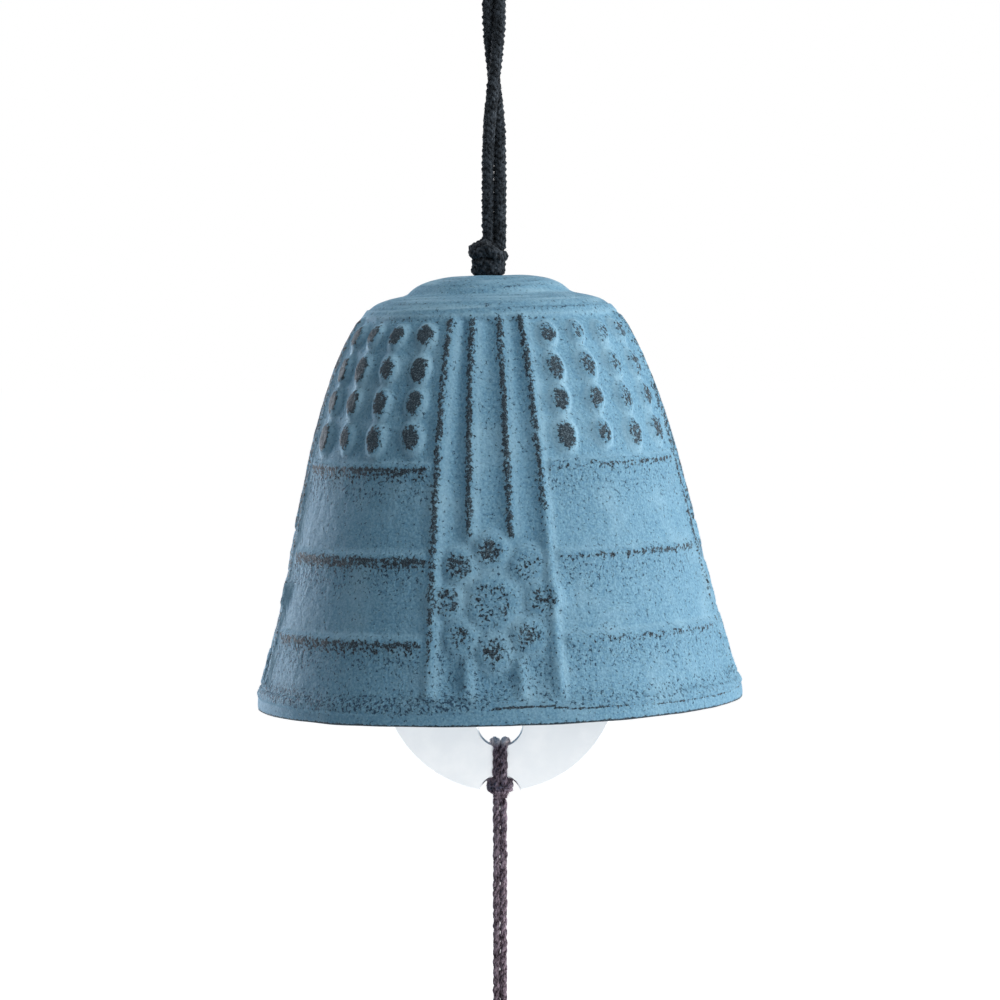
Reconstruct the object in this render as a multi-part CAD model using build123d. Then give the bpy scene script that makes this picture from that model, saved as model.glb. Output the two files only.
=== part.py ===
from build123d import *
import math
import os

# A furin, a small cast-iron wind bell, as it hangs at rest. Lengths are in millimetres and angles in degrees.
# The origin is the inside top of the hanging loop, where a hook bears. +Z is up and -Y is the front.

# Bell, drawn upright on its rim before it is hung
RIM_RADIUS = 32.5
CROWN_HEIGHT = 56.8
WALL = 2.6
CROWN_WALL = 3.2
LIP_HEIGHT = 2.6
LIP_STEP = 0.25
CORD_HOLE_RADIUS = 2.1

# Where the bell hangs: its rim centre below the origin, and how far it leans out of plumb
RIM_DROP = 118.0
RIM_SIDE = 0.8
BELL_LEAN = -1.6

# Outline of the wall from the lip up: shares of the rim radius and of the crown height
WALL_FOOT_SHARES = (0.980, 0.048)
FLARE_TOP_SHARES = (0.881, 0.264)
CONE_TOP_SHARES = (0.774, 0.528)
SHOULDER_FOOT_SHARES = (0.668, 0.739)
SHOULDER_TOP_SHARES = (0.517, 0.917)

# Outline of the crown above the shoulder, in the same shares
CROWN_SLOPE_SHARES = ((0.452, 0.945), (0.348, 0.966))
CROWN_DISC_SHARES = ((0.281, 0.989), (0.150, 1.0))

# Relief on the wall: four bands of ribs, four panels of bosses between them and four lotus seats on the bands
BANDS = 4
BAND_TURN = -91.25
OUTER_RIB_ANGLE = 15.4
INNER_RIB_ANGLE = 5.75
RIB_RADIUS = 0.95
RIB_PROUD = 0.55
SHOULDER_RING_RADIUS = 1.0
SHOULDER_RING_PROUD = 0.55
RIDGE_RADIUS = 0.75
RIDGE_PROUD = 0.3
RIDGE_HEIGHT_SHARES = (0.572, 0.370, 0.183)
BOSS_COLUMNS = 4
BOSS_COLUMN_PITCH = 13.6
BOSS_HEIGHT_SHARES = (0.863, 0.788, 0.713, 0.634)
BOSS_LENGTH = 3.5
BOSS_WIDTH = 2.4
BOSS_PROUD = 0.72
LOTUS_HEIGHT_SHARE = 0.277
LOTUS_CENTRE_RADIUS = 3.0
LOTUS_PETALS = 8
LOTUS_PETAL_RADIUS = 1.95
LOTUS_RING_RADIUS = 6.45
LOTUS_PROUD = 0.75
LOTUS_ROOT = 0.8
LOTUS_STEP = 0.2
INNER_RIB_FOOT_SHARE = 0.427

# The short inner ribs between the lip and the lotus
LOWER_RIB_ANGLE = 6.5
LOWER_RIB_TOP_SHARE = 0.141

# Black hanging cord, doubled, with its knots and the bight that the clapper hangs on
CORD_DIAMETER = 1.5
PAIR_GAP = 0.04
KNOT_DROP = 20.5
KNOT_RADIUS = 2.55
KNOT_NECK = 2.45
KNOT_NECK_RADIUS = 2.0
RETAINING_KNOT_RADIUS = 2.9
RETAINING_KNOT_NECK = 2.75
EYE_LEG = 3.3
EYE_HALF_WIDTH = 1.35

# The three turns of a knot: ring radius and height as shares of the knot's radius, and each turn's tilt
KNOT_TURN_SHARES = ((0.685, -0.56), (0.690, 0.0), (0.470, 0.49))
KNOT_TURN_TILTS = (8, -11, 6)
KNOT_CORE_SHARE = 0.80

# Brown string
STRING_DIAMETER = 0.9
STRING_HALF_PITCH = 0.46
CLAPPER_SIDE = 0.8
STRIP_KNOT_RADIUS = 1.6
STRIP_KNOT_NECK = 1.6
STRIP_KNOT_NECK_RADIUS = 1.45
STRIP_KNOT_DROP = 164.0
STRIP_LOOP_DROP = 7.0
STRIP_LOOP_HALF_WIDTH = 0.95

# Clapper plate, and the hitches on its two webs
PLATE_RADIUS = 16.1
PLATE_THICKNESS = 1.0
PLATE_CENTRE_RISE = 3.4
PLATE_HOLE_RADIUS = 3.0
PLATE_HOLE_OFFSET = 6.75
PLATE_NOTCH_RADIUS = 2.85
NOTCH_PAST_EDGE = 0.6
PLATE_EDGE = 0.2
HITCH_BEND = 0.6
HITCH_HALF_WIDTH = 1.4
HITCH_BAR_REACH = 1.8
HITCH_STUB = 1.1

# Paper wind strip
STRIP_WIDTH = 42.0
STRIP_LENGTH = 105.0
STRIP_THICKNESS = 0.4
STRIP_HOLE_RADIUS = 2.0
STRIP_HOLE_INSET = 5.5
STRIP_CORNER = 1.5

# Clearances, and how far a cutter runs past what it cuts
SWING_GAP = 0.15
SEAT_GAP = 0.15
TIE_GAP = 0.05
OVERRUN = 5.0

# A cord's arc takes this share of its shorter run
ARC_SHARE = 0.45

# Routes of the free cords, chosen by hand. The hanging strands make half a twist about each other
LOOP_ROUTE = [
    (0.77, 0.0, -18.05), (0.77, 0.0, -15.6), (2.2, 0.0, -11.9), (4.4, 0.0, -7.2), (5.05, 0.0, -2.2),
    (2.09, 0.0, 0.75), (-2.09, 0.0, 0.75), (-5.05, 0.0, -2.2), (-4.4, 0.0, -7.2), (-2.2, 0.0, -11.9),
    (-0.77, 0.0, -15.6), (-0.77, 0.0, -18.05),
]
LEFT_STRAND_ROUTE = [
    (-0.77, 0.0, -57.6), (-0.80, 0.06, -50.8), (-0.80, -0.14, -45.2), (-0.655, -0.476, -41.2),
    (-0.355, -0.728, -38.0), (0.0, -0.81, -34.9), (0.38, -0.715, -31.6), (0.655, -0.476, -28.2),
    (0.786, -0.196, -24.6), (0.77, 0.0, -21.4),
]
RIGHT_STRAND_ROUTE = [
    (0.77, 0.0, -57.6), (0.80, -0.06, -50.8), (0.80, 0.14, -45.2), (0.655, 0.476, -41.2),
    (0.355, 0.728, -38.0), (0.0, 0.81, -34.9), (-0.38, 0.715, -31.6), (-0.655, 0.476, -28.2),
    (-0.786, 0.196, -24.6), (-0.77, 0.0, -21.4),
]
CLAPPER_STRING_ROUTE = [
    (0.34, -1.0, -97.85), (0.34, -1.0, -93.5), (0.8, -1.35, -79.5), (0.8, -1.35, -72.32),
    (0.8, 1.35, -72.32), (0.8, 1.35, -79.5), (1.26, -1.0, -93.5), (1.26, -1.0, -97.85),
]
LEFT_TAIL_ROUTE = [(0.34, -1.0, -131.5), (0.34, -1.0, -162.25)]
RIGHT_TAIL_ROUTE = [(1.26, -1.0, -131.5), (1.26, -1.0, -162.25)]


# Where things meet
def bell_axis_point(height):
    """A point on the bell's axis, at a height above its rim, as the bell hangs."""
    lean = math.radians(BELL_LEAN)
    return Vector(RIM_SIDE + height * math.sin(lean), 0, -RIM_DROP + height * math.cos(lean))


HALF_SECTOR = 180 / BANDS
BELL_PLACE = Pos(RIM_SIDE, 0, -RIM_DROP) * Rot(0, BELL_LEAN, 0)
HALF_PAIR = (CORD_DIAMETER + PAIR_GAP) / 2
CROWN_TOP = bell_axis_point(CROWN_HEIGHT)
CROWN_UNDERSIDE = bell_axis_point(CROWN_HEIGHT - CROWN_WALL)
LOOP_KNOT = Vector(0, 0, -KNOT_DROP)
CROWN_KNOT = CROWN_TOP + Vector(0, 0, SEAT_GAP + KNOT_NECK)
RETAINING_KNOT = Vector(0, 0, CROWN_UNDERSIDE.Z - SEAT_GAP - RETAINING_KNOT_NECK)
EYE = Vector(CLAPPER_SIDE, 0, RETAINING_KNOT.Z - RETAINING_KNOT_RADIUS - SWING_GAP - EYE_LEG)
PLATE_CENTRE = Vector(CLAPPER_SIDE, 0, -RIM_DROP + PLATE_CENTRE_RISE)
STRING_ROOM = STRING_DIAMETER / 2 + TIE_GAP
HOLE_TURN = PLATE_HOLE_OFFSET + math.sqrt((PLATE_HOLE_RADIUS - STRING_ROOM) ** 2 - STRING_HALF_PITCH**2)
NOTCH_CENTRE = PLATE_RADIUS + NOTCH_PAST_EDGE
NOTCH_TURN = NOTCH_CENTRE - math.sqrt((PLATE_NOTCH_RADIUS - STRING_ROOM) ** 2 - HITCH_HALF_WIDTH**2)
HITCH_SIDE = PLATE_THICKNESS / 2 + STRING_ROOM
HITCH_BAR = NOTCH_CENTRE - PLATE_NOTCH_RADIUS + HITCH_BAR_REACH
TAIL_PIVOT = PLATE_CENTRE + Vector(0, -HITCH_SIDE, -HITCH_BAR)
STRIP_KNOT = Vector(CLAPPER_SIDE, -HITCH_SIDE, -STRIP_KNOT_DROP)
STRIP_PIVOT = STRIP_KNOT - Vector(0, 0, STRIP_LOOP_DROP)


def bell_point(shares):
    """A point of the bell's outline, in its drawing plane."""
    return (shares[0] * RIM_RADIUS, shares[1] * CROWN_HEIGHT)


def wall_edges():
    """The wall's outline from the lip to the shoulder: a flare, a straight cone and two shoulder arcs."""
    foot, flare, cone, low, high = [
        Vector(*bell_point(s))
        for s in (
            WALL_FOOT_SHARES, FLARE_TOP_SHARES, CONE_TOP_SHARES, SHOULDER_FOOT_SHARES, SHOULDER_TOP_SHARES,
        )
    ]
    upward = (cone - flare).normalized()
    flare_arc = TangentArc(flare, foot, tangent=-upward)
    low_arc = TangentArc(cone, low, tangent=upward)
    high_arc = TangentArc(low, high, tangent=low_arc % 1)
    return [
        ThreePointArc(foot, flare_arc @ 0.5, flare),
        Line(flare, cone),
        low_arc,
        high_arc,
    ]


WALL_LINE = Wire(wall_edges())


def wall_share(height):
    """The share of the wall outline's length at a height above the rim."""
    low, high = 0.0, 1.0
    for _ in range(40):
        middle = (low + high) / 2
        if (WALL_LINE @ middle).Y < height:
            low = middle
        else:
            high = middle
    return low


def inward(edge, share):
    """The unit vector from the outline into the casting."""
    run = edge % share
    return Vector(-run.Y, run.X)


def arc_radius(before, corner, after):
    """The radius of the arc at a corner of a cord's route, as large as its two runs allow."""
    turn = math.radians((corner - before).get_angle(after - corner))
    shorter = min((corner - before).length, (after - corner).length)
    return ARC_SHARE * shorter / math.tan(turn / 2)


def tube(name, diameter, route, bends=None):
    """A round cord along straight runs joined by tangent arcs. bends gives the radii at the tight corners."""
    points = [Vector(*p) for p in route]
    radii = [arc_radius(*three) for three in zip(points, points[1:], points[2:])]
    for corner, radius in (bends or {}).items():
        radii[corner] = radius
    line = FilletPolyline(*points, radius=radii) if radii else Line(*points)
    solid = sweep(Plane(origin=line @ 0, z_dir=line % 0) * Circle(diameter / 2), path=line)
    section = math.pi * diameter**2 / 4
    share = round(solid.volume / (section * line.length), 4)
    print(name, "length", round(line.length, 2), "volume share", share, "radii", [round(r, 1) for r in radii])
    return solid


def knot(radius, cord, neck, neck_radius):
    """A pulled-tight knot about the origin: three turns of cord on a round core, over a flat neck."""
    turns = [
        Pos(0, 0, height * radius) * Rot(tilt, 0, 0) * Torus(ring * radius, cord / 2)
        for (ring, height), tilt in zip(KNOT_TURN_SHARES, KNOT_TURN_TILTS)
    ]
    core = Sphere(KNOT_CORE_SHARE * radius)
    return core.fuse(*turns, Pos(0, 0, -neck / 2) * Cylinder(neck_radius, neck))


def pair_end(centre, radius, side):
    """The two ends of the doubled cord where they leave a knot: stubs cut round about the knot's centre."""
    stubs = [
        Pos(x, 0, centre.Z + side * radius / 2) * Cylinder(CORD_DIAMETER / 2, radius)
        for x in (-HALF_PAIR, HALF_PAIR)
    ]
    return [stub & Pos(*centre) * Sphere(radius) for stub in stubs]


def bell_outline():
    """Half the casting's section: lip, wall, shoulder, crown disc, cord hole and the cavity inside."""
    wall = wall_edges()
    foot = wall[0] @ 0
    shoulder = wall[-1] @ 1
    slope_middle, slope_top = [Vector(*bell_point(s)) for s in CROWN_SLOPE_SHARES]
    disc_edge, disc_top = [Vector(*bell_point(s)) for s in CROWN_DISC_SHARES]
    crown = [
        ThreePointArc(shoulder, slope_middle, slope_top),
        ThreePointArc(slope_top, disc_edge, disc_top),
        Line(disc_top, (CORD_HOLE_RADIUS, CROWN_HEIGHT)),
        Line((CORD_HOLE_RADIUS, CROWN_HEIGHT), (CORD_HOLE_RADIUS, CROWN_HEIGHT - CROWN_WALL)),
    ]
    cavity = []
    for edge in wall:
        ends = [edge @ t + inward(edge, t) * WALL for t in (0, 0.5, 1)]
        cavity.append(
            Line(ends[0], ends[2]) if edge.geom_type == GeomType.LINE else ThreePointArc(*ends)
        )
    roof = Vector(shoulder.X - CROWN_WALL - WALL, CROWN_HEIGHT - CROWN_WALL)
    inside_foot = cavity[0] @ 0
    lip = Polyline(
        foot,
        (foot.X + LIP_STEP, LIP_HEIGHT),
        (RIM_RADIUS, LIP_HEIGHT / 2),
        (RIM_RADIUS, 0),
        (inside_foot.X + WALL * (RIM_RADIUS - foot.X) / LIP_HEIGHT, 0),
        inside_foot,
    )
    ceiling = [
        TangentArc(cavity[-1] @ 1, roof, tangent=cavity[-1] % 1),
        Line(roof, (CORD_HOLE_RADIUS, CROWN_HEIGHT - CROWN_WALL)),
    ]
    return make_face(Wire([*wall, *crown, *ceiling, *cavity, *lip.edges()]))


def about_axis(shape, turn=360.0):
    """Revolve a drawing in the XY plane, whose Y is the bell's height, about the bell's axis."""
    return revolve(Plane.XZ * shape, axis=Axis.Z, revolution_arc=turn)


def rib(foot_height):
    """A half-round vertical rib, laid along the wall from the shoulder down to a height, in the +X meridian."""
    sunk = RIB_RADIUS - RIB_PROUD
    start = WALL_LINE @ 0 + inward(WALL_LINE, 0) * sunk
    line = [Line(start - (WALL_LINE % 0) * LIP_HEIGHT / 2, start)]
    for edge in wall_edges():
        ends = [edge @ t + inward(edge, t) * sunk for t in (0, 0.5, 1)]
        line.append(Line(ends[0], ends[2]) if edge.geom_type == GeomType.LINE else ThreePointArc(*ends))
    path = Plane.XZ * Wire(line)
    whole = sweep(Plane(origin=path @ 0, z_dir=path % 0) * Circle(RIB_RADIUS), path=path)
    return split(whole, Plane.XY.offset(foot_height), keep=Keep.TOP)


def ridge(height):
    """A low half-round ridge from a band's outer rib to the middle of the panel beside it."""
    share = wall_share(height)
    middle = WALL_LINE @ share + inward(WALL_LINE, share) * (RIDGE_RADIUS - RIDGE_PROUD)
    half_panel = HALF_SECTOR - OUTER_RIB_ANGLE
    return Rot(0, 0, OUTER_RIB_ANGLE) * about_axis(Pos(middle.X, middle.Y) * Circle(RIDGE_RADIUS), half_panel)


def shoulder_ring():
    """One sector of the bead round the shoulder that the ribs run up to."""
    sunk = SHOULDER_RING_RADIUS - SHOULDER_RING_PROUD
    middle = WALL_LINE @ 1 + inward(WALL_LINE, 1) * sunk
    bead = Pos(middle.X, middle.Y) * Circle(SHOULDER_RING_RADIUS)
    return Rot(0, 0, -HALF_SECTOR) * about_axis(bead, 2 * HALF_SECTOR)


def on_wall(height, angle, shape):
    """Set a shape on the wall at a height and an angle: its +Z out of the wall, its +Y up along the wall."""
    share = wall_share(height)
    point, up = WALL_LINE @ share, WALL_LINE % share
    plane = Plane(
        origin=(point.X, 0, point.Y),
        x_dir=(0, 1, 0),
        z_dir=(up.Y, 0, -up.X),
    )
    return Rot(0, 0, angle) * (plane * shape)


def boss():
    """One oval boss, proud of the wall, its length up the wall: half an ellipse turned about its long axis."""
    half = Line((0, -BOSS_LENGTH / 2), (0, BOSS_LENGTH / 2))
    bow = EllipticalCenterArc((0, 0), BOSS_WIDTH / 2, BOSS_LENGTH / 2, -90, arc_size=180)
    oval = revolve(make_face(Wire([half, bow])), axis=Axis.Y)
    return Pos(0, 0, BOSS_PROUD - BOSS_WIDTH / 2) * oval


def dome(radius):
    """A low round dome with a root that seats it in the wall: the cap of a ball, standing on a short step."""
    rise = LOTUS_PROUD - LOTUS_STEP
    ball = (radius**2 + rise**2) / (2 * rise)
    post = Pos(0, 0, (LOTUS_PROUD - LOTUS_ROOT) / 2) * Cylinder(radius, LOTUS_PROUD + LOTUS_ROOT)
    return post & Pos(0, 0, LOTUS_PROUD - ball) * Sphere(ball)


def lotus():
    """The round strike seat on a band: a centre boss in a ring of petals."""
    height = LOTUS_HEIGHT_SHARE * CROWN_HEIGHT
    seats = [on_wall(height, 0, dome(LOTUS_CENTRE_RADIUS))]
    for k in range(LOTUS_PETALS):
        turn = 2 * math.pi * k / LOTUS_PETALS
        across, up = LOTUS_RING_RADIUS * math.sin(turn), LOTUS_RING_RADIUS * math.cos(turn)
        level = height + up * (WALL_LINE % wall_share(height)).Y
        angle = math.degrees(across / (WALL_LINE @ wall_share(level)).X)
        seats.append(on_wall(level, angle, dome(LOTUS_PETAL_RADIUS)))
    return seats


def sector_relief():
    """The relief of one band and of the half panels beside it, about the +X meridian."""
    foot = LIP_HEIGHT - LIP_STEP
    pieces = [Rot(0, 0, side * OUTER_RIB_ANGLE) * rib(foot) for side in (-1, 1)]
    lower = split(rib(foot), Plane.XY.offset(LOWER_RIB_TOP_SHARE * CROWN_HEIGHT), keep=Keep.BOTTOM)
    pieces += [Rot(0, 0, side * LOWER_RIB_ANGLE) * lower for side in (-1, 1)]
    inner = rib(INNER_RIB_FOOT_SHARE * CROWN_HEIGHT)
    pieces += [Rot(0, 0, side * INNER_RIB_ANGLE) * inner for side in (-1, 1)]
    pieces += [shoulder_ring(), *lotus()]
    for share in RIDGE_HEIGHT_SHARES:
        half = ridge(share * CROWN_HEIGHT)
        pieces += [half, mirror(half, about=Plane.XZ)]
    for column in range(BOSS_COLUMNS):
        offset = (column - (BOSS_COLUMNS - 1) / 2) * BOSS_COLUMN_PITCH
        angle = math.copysign(HALF_SECTOR, -offset) + offset
        pieces += [on_wall(share * CROWN_HEIGHT, angle, boss()) for share in BOSS_HEIGHT_SHARES]
    return pieces


def make_bell():
    """The casting with its relief, as it hangs: one sector, repeated round the axis."""
    sector = Rot(0, 0, -HALF_SECTOR) * about_axis(bell_outline(), 2 * HALF_SECTOR)
    sector = Rot(0, 0, BAND_TURN) * sector.fuse(*sector_relief())
    sectors = [Rot(0, 0, 2 * HALF_SECTOR * k) * sector for k in range(BANDS)]
    return BELL_PLACE * sectors[0].fuse(*sectors[1:])


def loop_knot():
    """The knot that closes the hanging loop, its flat neck up and the two strands' ends below."""
    body = Pos(*LOOP_KNOT) * Rot(180, 0, 0) * knot(KNOT_RADIUS, CORD_DIAMETER, KNOT_NECK, KNOT_NECK_RADIUS)
    return body.fuse(*pair_end(LOOP_KNOT, KNOT_RADIUS, -1))


def hanging_strand(name, route):
    """One of the two strands between the loop knot and the crown knot, its ends clear of both as they swing."""
    strand = tube(name, CORD_DIAMETER, route)
    for centre in (LOOP_KNOT, CROWN_KNOT):
        strand -= Pos(*centre) * Sphere(KNOT_RADIUS + SWING_GAP)
    return strand


def crown_knot():
    """The knot that sits on the crown, its flat neck down and the two strands' ends above."""
    body = Pos(*CROWN_KNOT) * knot(KNOT_RADIUS, CORD_DIAMETER, KNOT_NECK, KNOT_NECK_RADIUS)
    return body.fuse(*pair_end(CROWN_KNOT, KNOT_RADIUS, 1))


def throat_cord():
    """The doubled cord inside the hole in the crown, from knot to knot."""
    top = CROWN_KNOT.Z - KNOT_NECK
    foot = RETAINING_KNOT.Z + RETAINING_KNOT_NECK
    middle = (CROWN_KNOT.X + RETAINING_KNOT.X) / 2
    strand = Cylinder(CORD_DIAMETER / 2, top - foot)
    return Compound([Pos(middle + x, 0, (top + foot) / 2) * strand for x in (-HALF_PAIR, HALF_PAIR)])


def retaining_knot():
    """The knot under the crown that carries the bell."""
    body = knot(RETAINING_KNOT_RADIUS, CORD_DIAMETER, RETAINING_KNOT_NECK, KNOT_NECK_RADIUS)
    return Pos(*RETAINING_KNOT) * Rot(180, 0, 0) * body


def clapper_eye():
    """The bight of the black cord under the retaining knot, which the clapper string hangs on."""
    left, right = EYE.X - EYE_HALF_WIDTH, EYE.X + EYE_HALF_WIDTH
    top = RETAINING_KNOT.Z
    route = [(left, 0, top), (left, 0, EYE.Z), (right, 0, EYE.Z), (right, 0, top)]
    bend = EYE_HALF_WIDTH - TIE_GAP
    bight = tube("clapper_eye", CORD_DIAMETER, route, {0: bend, 1: bend})
    return bight - Pos(*RETAINING_KNOT) * Sphere(RETAINING_KNOT_RADIUS + SWING_GAP)


def clapper_string():
    """The brown string from the upper hitch over the eye and back, in one length."""
    bend = (CORD_DIAMETER + STRING_DIAMETER) / 2 + SWING_GAP - TIE_GAP
    return tube("clapper_string", STRING_DIAMETER, CLAPPER_STRING_ROUTE, {2: bend, 3: bend})


def clapper_plate():
    """The thin disc that strikes the bell: a hole and a notch leave a web at its top and at its bottom."""
    disc = Cylinder(PLATE_RADIUS, PLATE_THICKNESS)
    through = PLATE_THICKNESS + OVERRUN
    for side in (-1, 1):
        disc -= Pos(0, side * PLATE_HOLE_OFFSET, 0) * Cylinder(PLATE_HOLE_RADIUS, through)
        disc -= Pos(0, side * NOTCH_CENTRE, 0) * Cylinder(PLATE_NOTCH_RADIUS, through)
    disc = chamfer(disc.edges().filter_by(GeomType.CIRCLE), PLATE_EDGE)
    return Pos(*PLATE_CENTRE) * Rot(90, 0, 0) * disc


def hitch(name, side):
    """A lark's head hitch of one unbroken string on a web of the plate: side is 1 above and -1 below."""
    before_tails = HITCH_SIDE + STRING_DIAMETER + TIE_GAP
    half = [
        (STRING_HALF_PITCH, -HITCH_SIDE, HITCH_BAR + HITCH_STUB),
        (STRING_HALF_PITCH, -HITCH_SIDE, HOLE_TURN),
        (STRING_HALF_PITCH, HITCH_SIDE, HOLE_TURN),
        (HITCH_HALF_WIDTH, HITCH_SIDE, NOTCH_TURN),
        (HITCH_HALF_WIDTH, -before_tails, HITCH_BAR),
    ]
    route = half + [(-across, deep, up) for across, deep, up in reversed(half)]
    route = [PLATE_CENTRE + Vector(across, deep, side * up) for across, deep, up in route]
    return tube(name, STRING_DIAMETER, route, {k: HITCH_BEND for k in range(len(route) - 2)})


def strip_knot():
    """The knot at the end of the tail strings, its flat neck down."""
    head = knot(STRIP_KNOT_RADIUS, STRING_DIAMETER, STRIP_KNOT_NECK, STRIP_KNOT_NECK_RADIUS)
    return Pos(*STRIP_KNOT) * head


def strip_loop():
    """The string loop under the strip knot that goes through the wind strip's hole."""
    near, far = STRIP_KNOT.Y - STRIP_LOOP_HALF_WIDTH, STRIP_KNOT.Y + STRIP_LOOP_HALF_WIDTH
    x, top, foot = STRIP_KNOT.X, STRIP_KNOT.Z - STRIP_KNOT_NECK, STRIP_PIVOT.Z
    route = [(x, near, top), (x, near, foot), (x, far, foot), (x, far, top)]
    bend = STRIP_LOOP_HALF_WIDTH - TIE_GAP
    return tube("strip_loop", STRING_DIAMETER, route, {0: bend, 1: bend})


def wind_strip():
    """The paper strip that catches the wind, hung on the string loop by its punched hole."""
    hole_z = STRIP_PIVOT.Z + STRING_DIAMETER / 2 + SWING_GAP - STRIP_HOLE_RADIUS
    middle_z = hole_z + STRIP_HOLE_INSET - STRIP_LENGTH / 2
    sheet = RectangleRounded(STRIP_WIDTH, STRIP_LENGTH, STRIP_CORNER)
    sheet -= Pos(0, hole_z - middle_z) * Circle(STRIP_HOLE_RADIUS)
    strip = extrude(sheet, amount=STRIP_THICKNESS / 2, both=True)
    return Pos(STRIP_PIVOT.X, STRIP_PIVOT.Y, middle_z) * Rot(90, 0, 0) * strip


NODES = {
    "hanging_loop": tube("hanging_loop", CORD_DIAMETER, LOOP_ROUTE),
    "loop_knot": loop_knot(),
    "hanging_strand_left": hanging_strand("hanging_strand_left", LEFT_STRAND_ROUTE),
    "hanging_strand_right": hanging_strand("hanging_strand_right", RIGHT_STRAND_ROUTE),
    "crown_knot": crown_knot(),
    "throat_cord": throat_cord(),
    "retaining_knot": retaining_knot(),
    "clapper_eye": clapper_eye(),
    "bell": make_bell(),
    "clapper_string": clapper_string(),
    "upper_hitch": hitch("upper_hitch", 1),
    "clapper_plate": clapper_plate(),
    "lower_hitch": hitch("lower_hitch", -1),
    "tail_string_left": tube("tail_string_left", STRING_DIAMETER, LEFT_TAIL_ROUTE),
    "tail_string_right": tube("tail_string_right", STRING_DIAMETER, RIGHT_TAIL_ROUTE),
    "strip_knot": strip_knot(),
    "strip_loop": strip_loop(),
    "wind_strip": wind_strip(),
}

os.makedirs("parts", exist_ok=True)
for node, shape in NODES.items():
    export_step(shape, f"parts/{node}.step")
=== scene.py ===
"""A furin, the small cast-iron wind bell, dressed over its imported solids.

Lengths in the dataclasses are in millimetres and turn into metres where a mesh is made. The row frame has +Z
up along the hanging cord and -Y towards the viewer. The bell is modelled upright on its rim and then hung as
it leans.
"""
import logging
import math
from dataclasses import dataclass, field
from enum import Enum

import bpy
import numpy as np
from mathutils import Matrix, Vector, noise

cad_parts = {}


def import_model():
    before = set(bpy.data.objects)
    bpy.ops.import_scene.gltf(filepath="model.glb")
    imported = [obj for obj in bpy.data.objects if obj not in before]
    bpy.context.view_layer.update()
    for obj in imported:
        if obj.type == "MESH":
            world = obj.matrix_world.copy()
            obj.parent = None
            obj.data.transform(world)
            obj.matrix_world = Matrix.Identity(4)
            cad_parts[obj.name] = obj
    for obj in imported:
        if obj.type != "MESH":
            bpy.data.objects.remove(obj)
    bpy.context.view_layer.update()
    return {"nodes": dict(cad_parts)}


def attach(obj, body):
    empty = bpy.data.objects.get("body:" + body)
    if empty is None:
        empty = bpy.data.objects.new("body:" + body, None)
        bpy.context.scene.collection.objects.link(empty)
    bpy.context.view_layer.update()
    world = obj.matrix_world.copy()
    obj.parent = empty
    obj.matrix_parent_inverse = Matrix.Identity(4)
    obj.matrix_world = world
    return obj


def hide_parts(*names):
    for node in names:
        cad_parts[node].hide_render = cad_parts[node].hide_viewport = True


MM = 0.001
SEEDS = 9973
LINE_STEPS = 24
log = logging.getLogger("furin")
Point = tuple[float, float, float]
Route = list[Point]
Section = list[tuple[float, float]]
Span = tuple[float, float]
Colour = tuple[float, float, float, float]
Layer = np.ndarray | None
Socket = bpy.types.NodeSocket


class Body(Enum):
    """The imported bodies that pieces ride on."""

    HANGER = "hanger"
    CORD = "hanging_cord"
    CROWN_TIE = "crown_tie"
    BELL = "bell"
    EYE = "clapper_eye"
    CLAPPER = "clapper"
    TAIL = "tail"
    STRIP_TIE = "strip_tie"
    STRIP = "wind_strip"


def colour(red: int, green: int, blue: int) -> Colour:
    """A colour as it shows on a screen, from 0 to 255 a channel, as Blender's linear values.

    Args:
        red: red as it shows.
        green: green as it shows.
        blue: blue as it shows.

    Returns:
        Linear red, green and blue by the sRGB rule, and an alpha of 1.
    """
    shown = [channel / 255 for channel in (red, green, blue)]
    linear = [c / 12.92 if c <= 0.04045 else ((c + 0.055) / 1.055) ** 2.4 for c in shown]
    return (*linear, 1.0)


def deselect() -> None:
    """Leave object mode with nothing selected."""
    if bpy.context.object and bpy.context.object.mode != "OBJECT":
        bpy.ops.object.mode_set(mode="OBJECT")
    bpy.ops.object.select_all(action="DESELECT")


def select_only(obj: bpy.types.Object) -> None:
    """Make one object the selected and active one.

    Args:
        obj: the object.
    """
    deselect()
    obj.select_set(True)
    bpy.context.view_layer.objects.active = obj


def apply_modifiers(obj: bpy.types.Object) -> None:
    """Apply every modifier of an object, in order.

    Args:
        obj: the object.
    """
    select_only(obj)
    for modifier in list(obj.modifiers):
        bpy.ops.object.modifier_apply(modifier=modifier.name)


def settle(obj: bpy.types.Object) -> None:
    """Put an object's place into its mesh, so that the object sits at the origin, unturned."""
    select_only(obj)
    bpy.ops.object.transform_apply(location=True, rotation=True, scale=True)


def to_mesh(name: str, curve: bpy.types.Curve) -> bpy.types.Object:
    """Turn a curve into a mesh object.

    Args:
        name: the object's name.
        curve: the curve.

    Returns:
        The mesh object, selected and active.
    """
    obj = bpy.data.objects.new(name, curve)
    bpy.context.collection.objects.link(obj)
    select_only(obj)
    bpy.ops.object.convert(target="MESH")
    return bpy.context.object


def join(obj: bpy.types.Object, extra: bpy.types.Object) -> None:
    """Join a second object to a first one.

    Args:
        obj: the object that stays.
        extra: the object that goes into it.
    """
    select_only(obj)
    extra.select_set(True)
    bpy.ops.object.join()


def hand_over(obj: bpy.types.Object, body: Body, nodes: tuple[str, ...]) -> None:
    """Give a finished piece to the frame.

    Args:
        obj: the finished piece.
        body: the body that it rides on.
        nodes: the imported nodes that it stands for.
    """
    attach(obj, body.value)
    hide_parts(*nodes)
    log.info("%s: %d faces, rides on %s", obj.name, len(obj.data.polygons), body.value)


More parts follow.
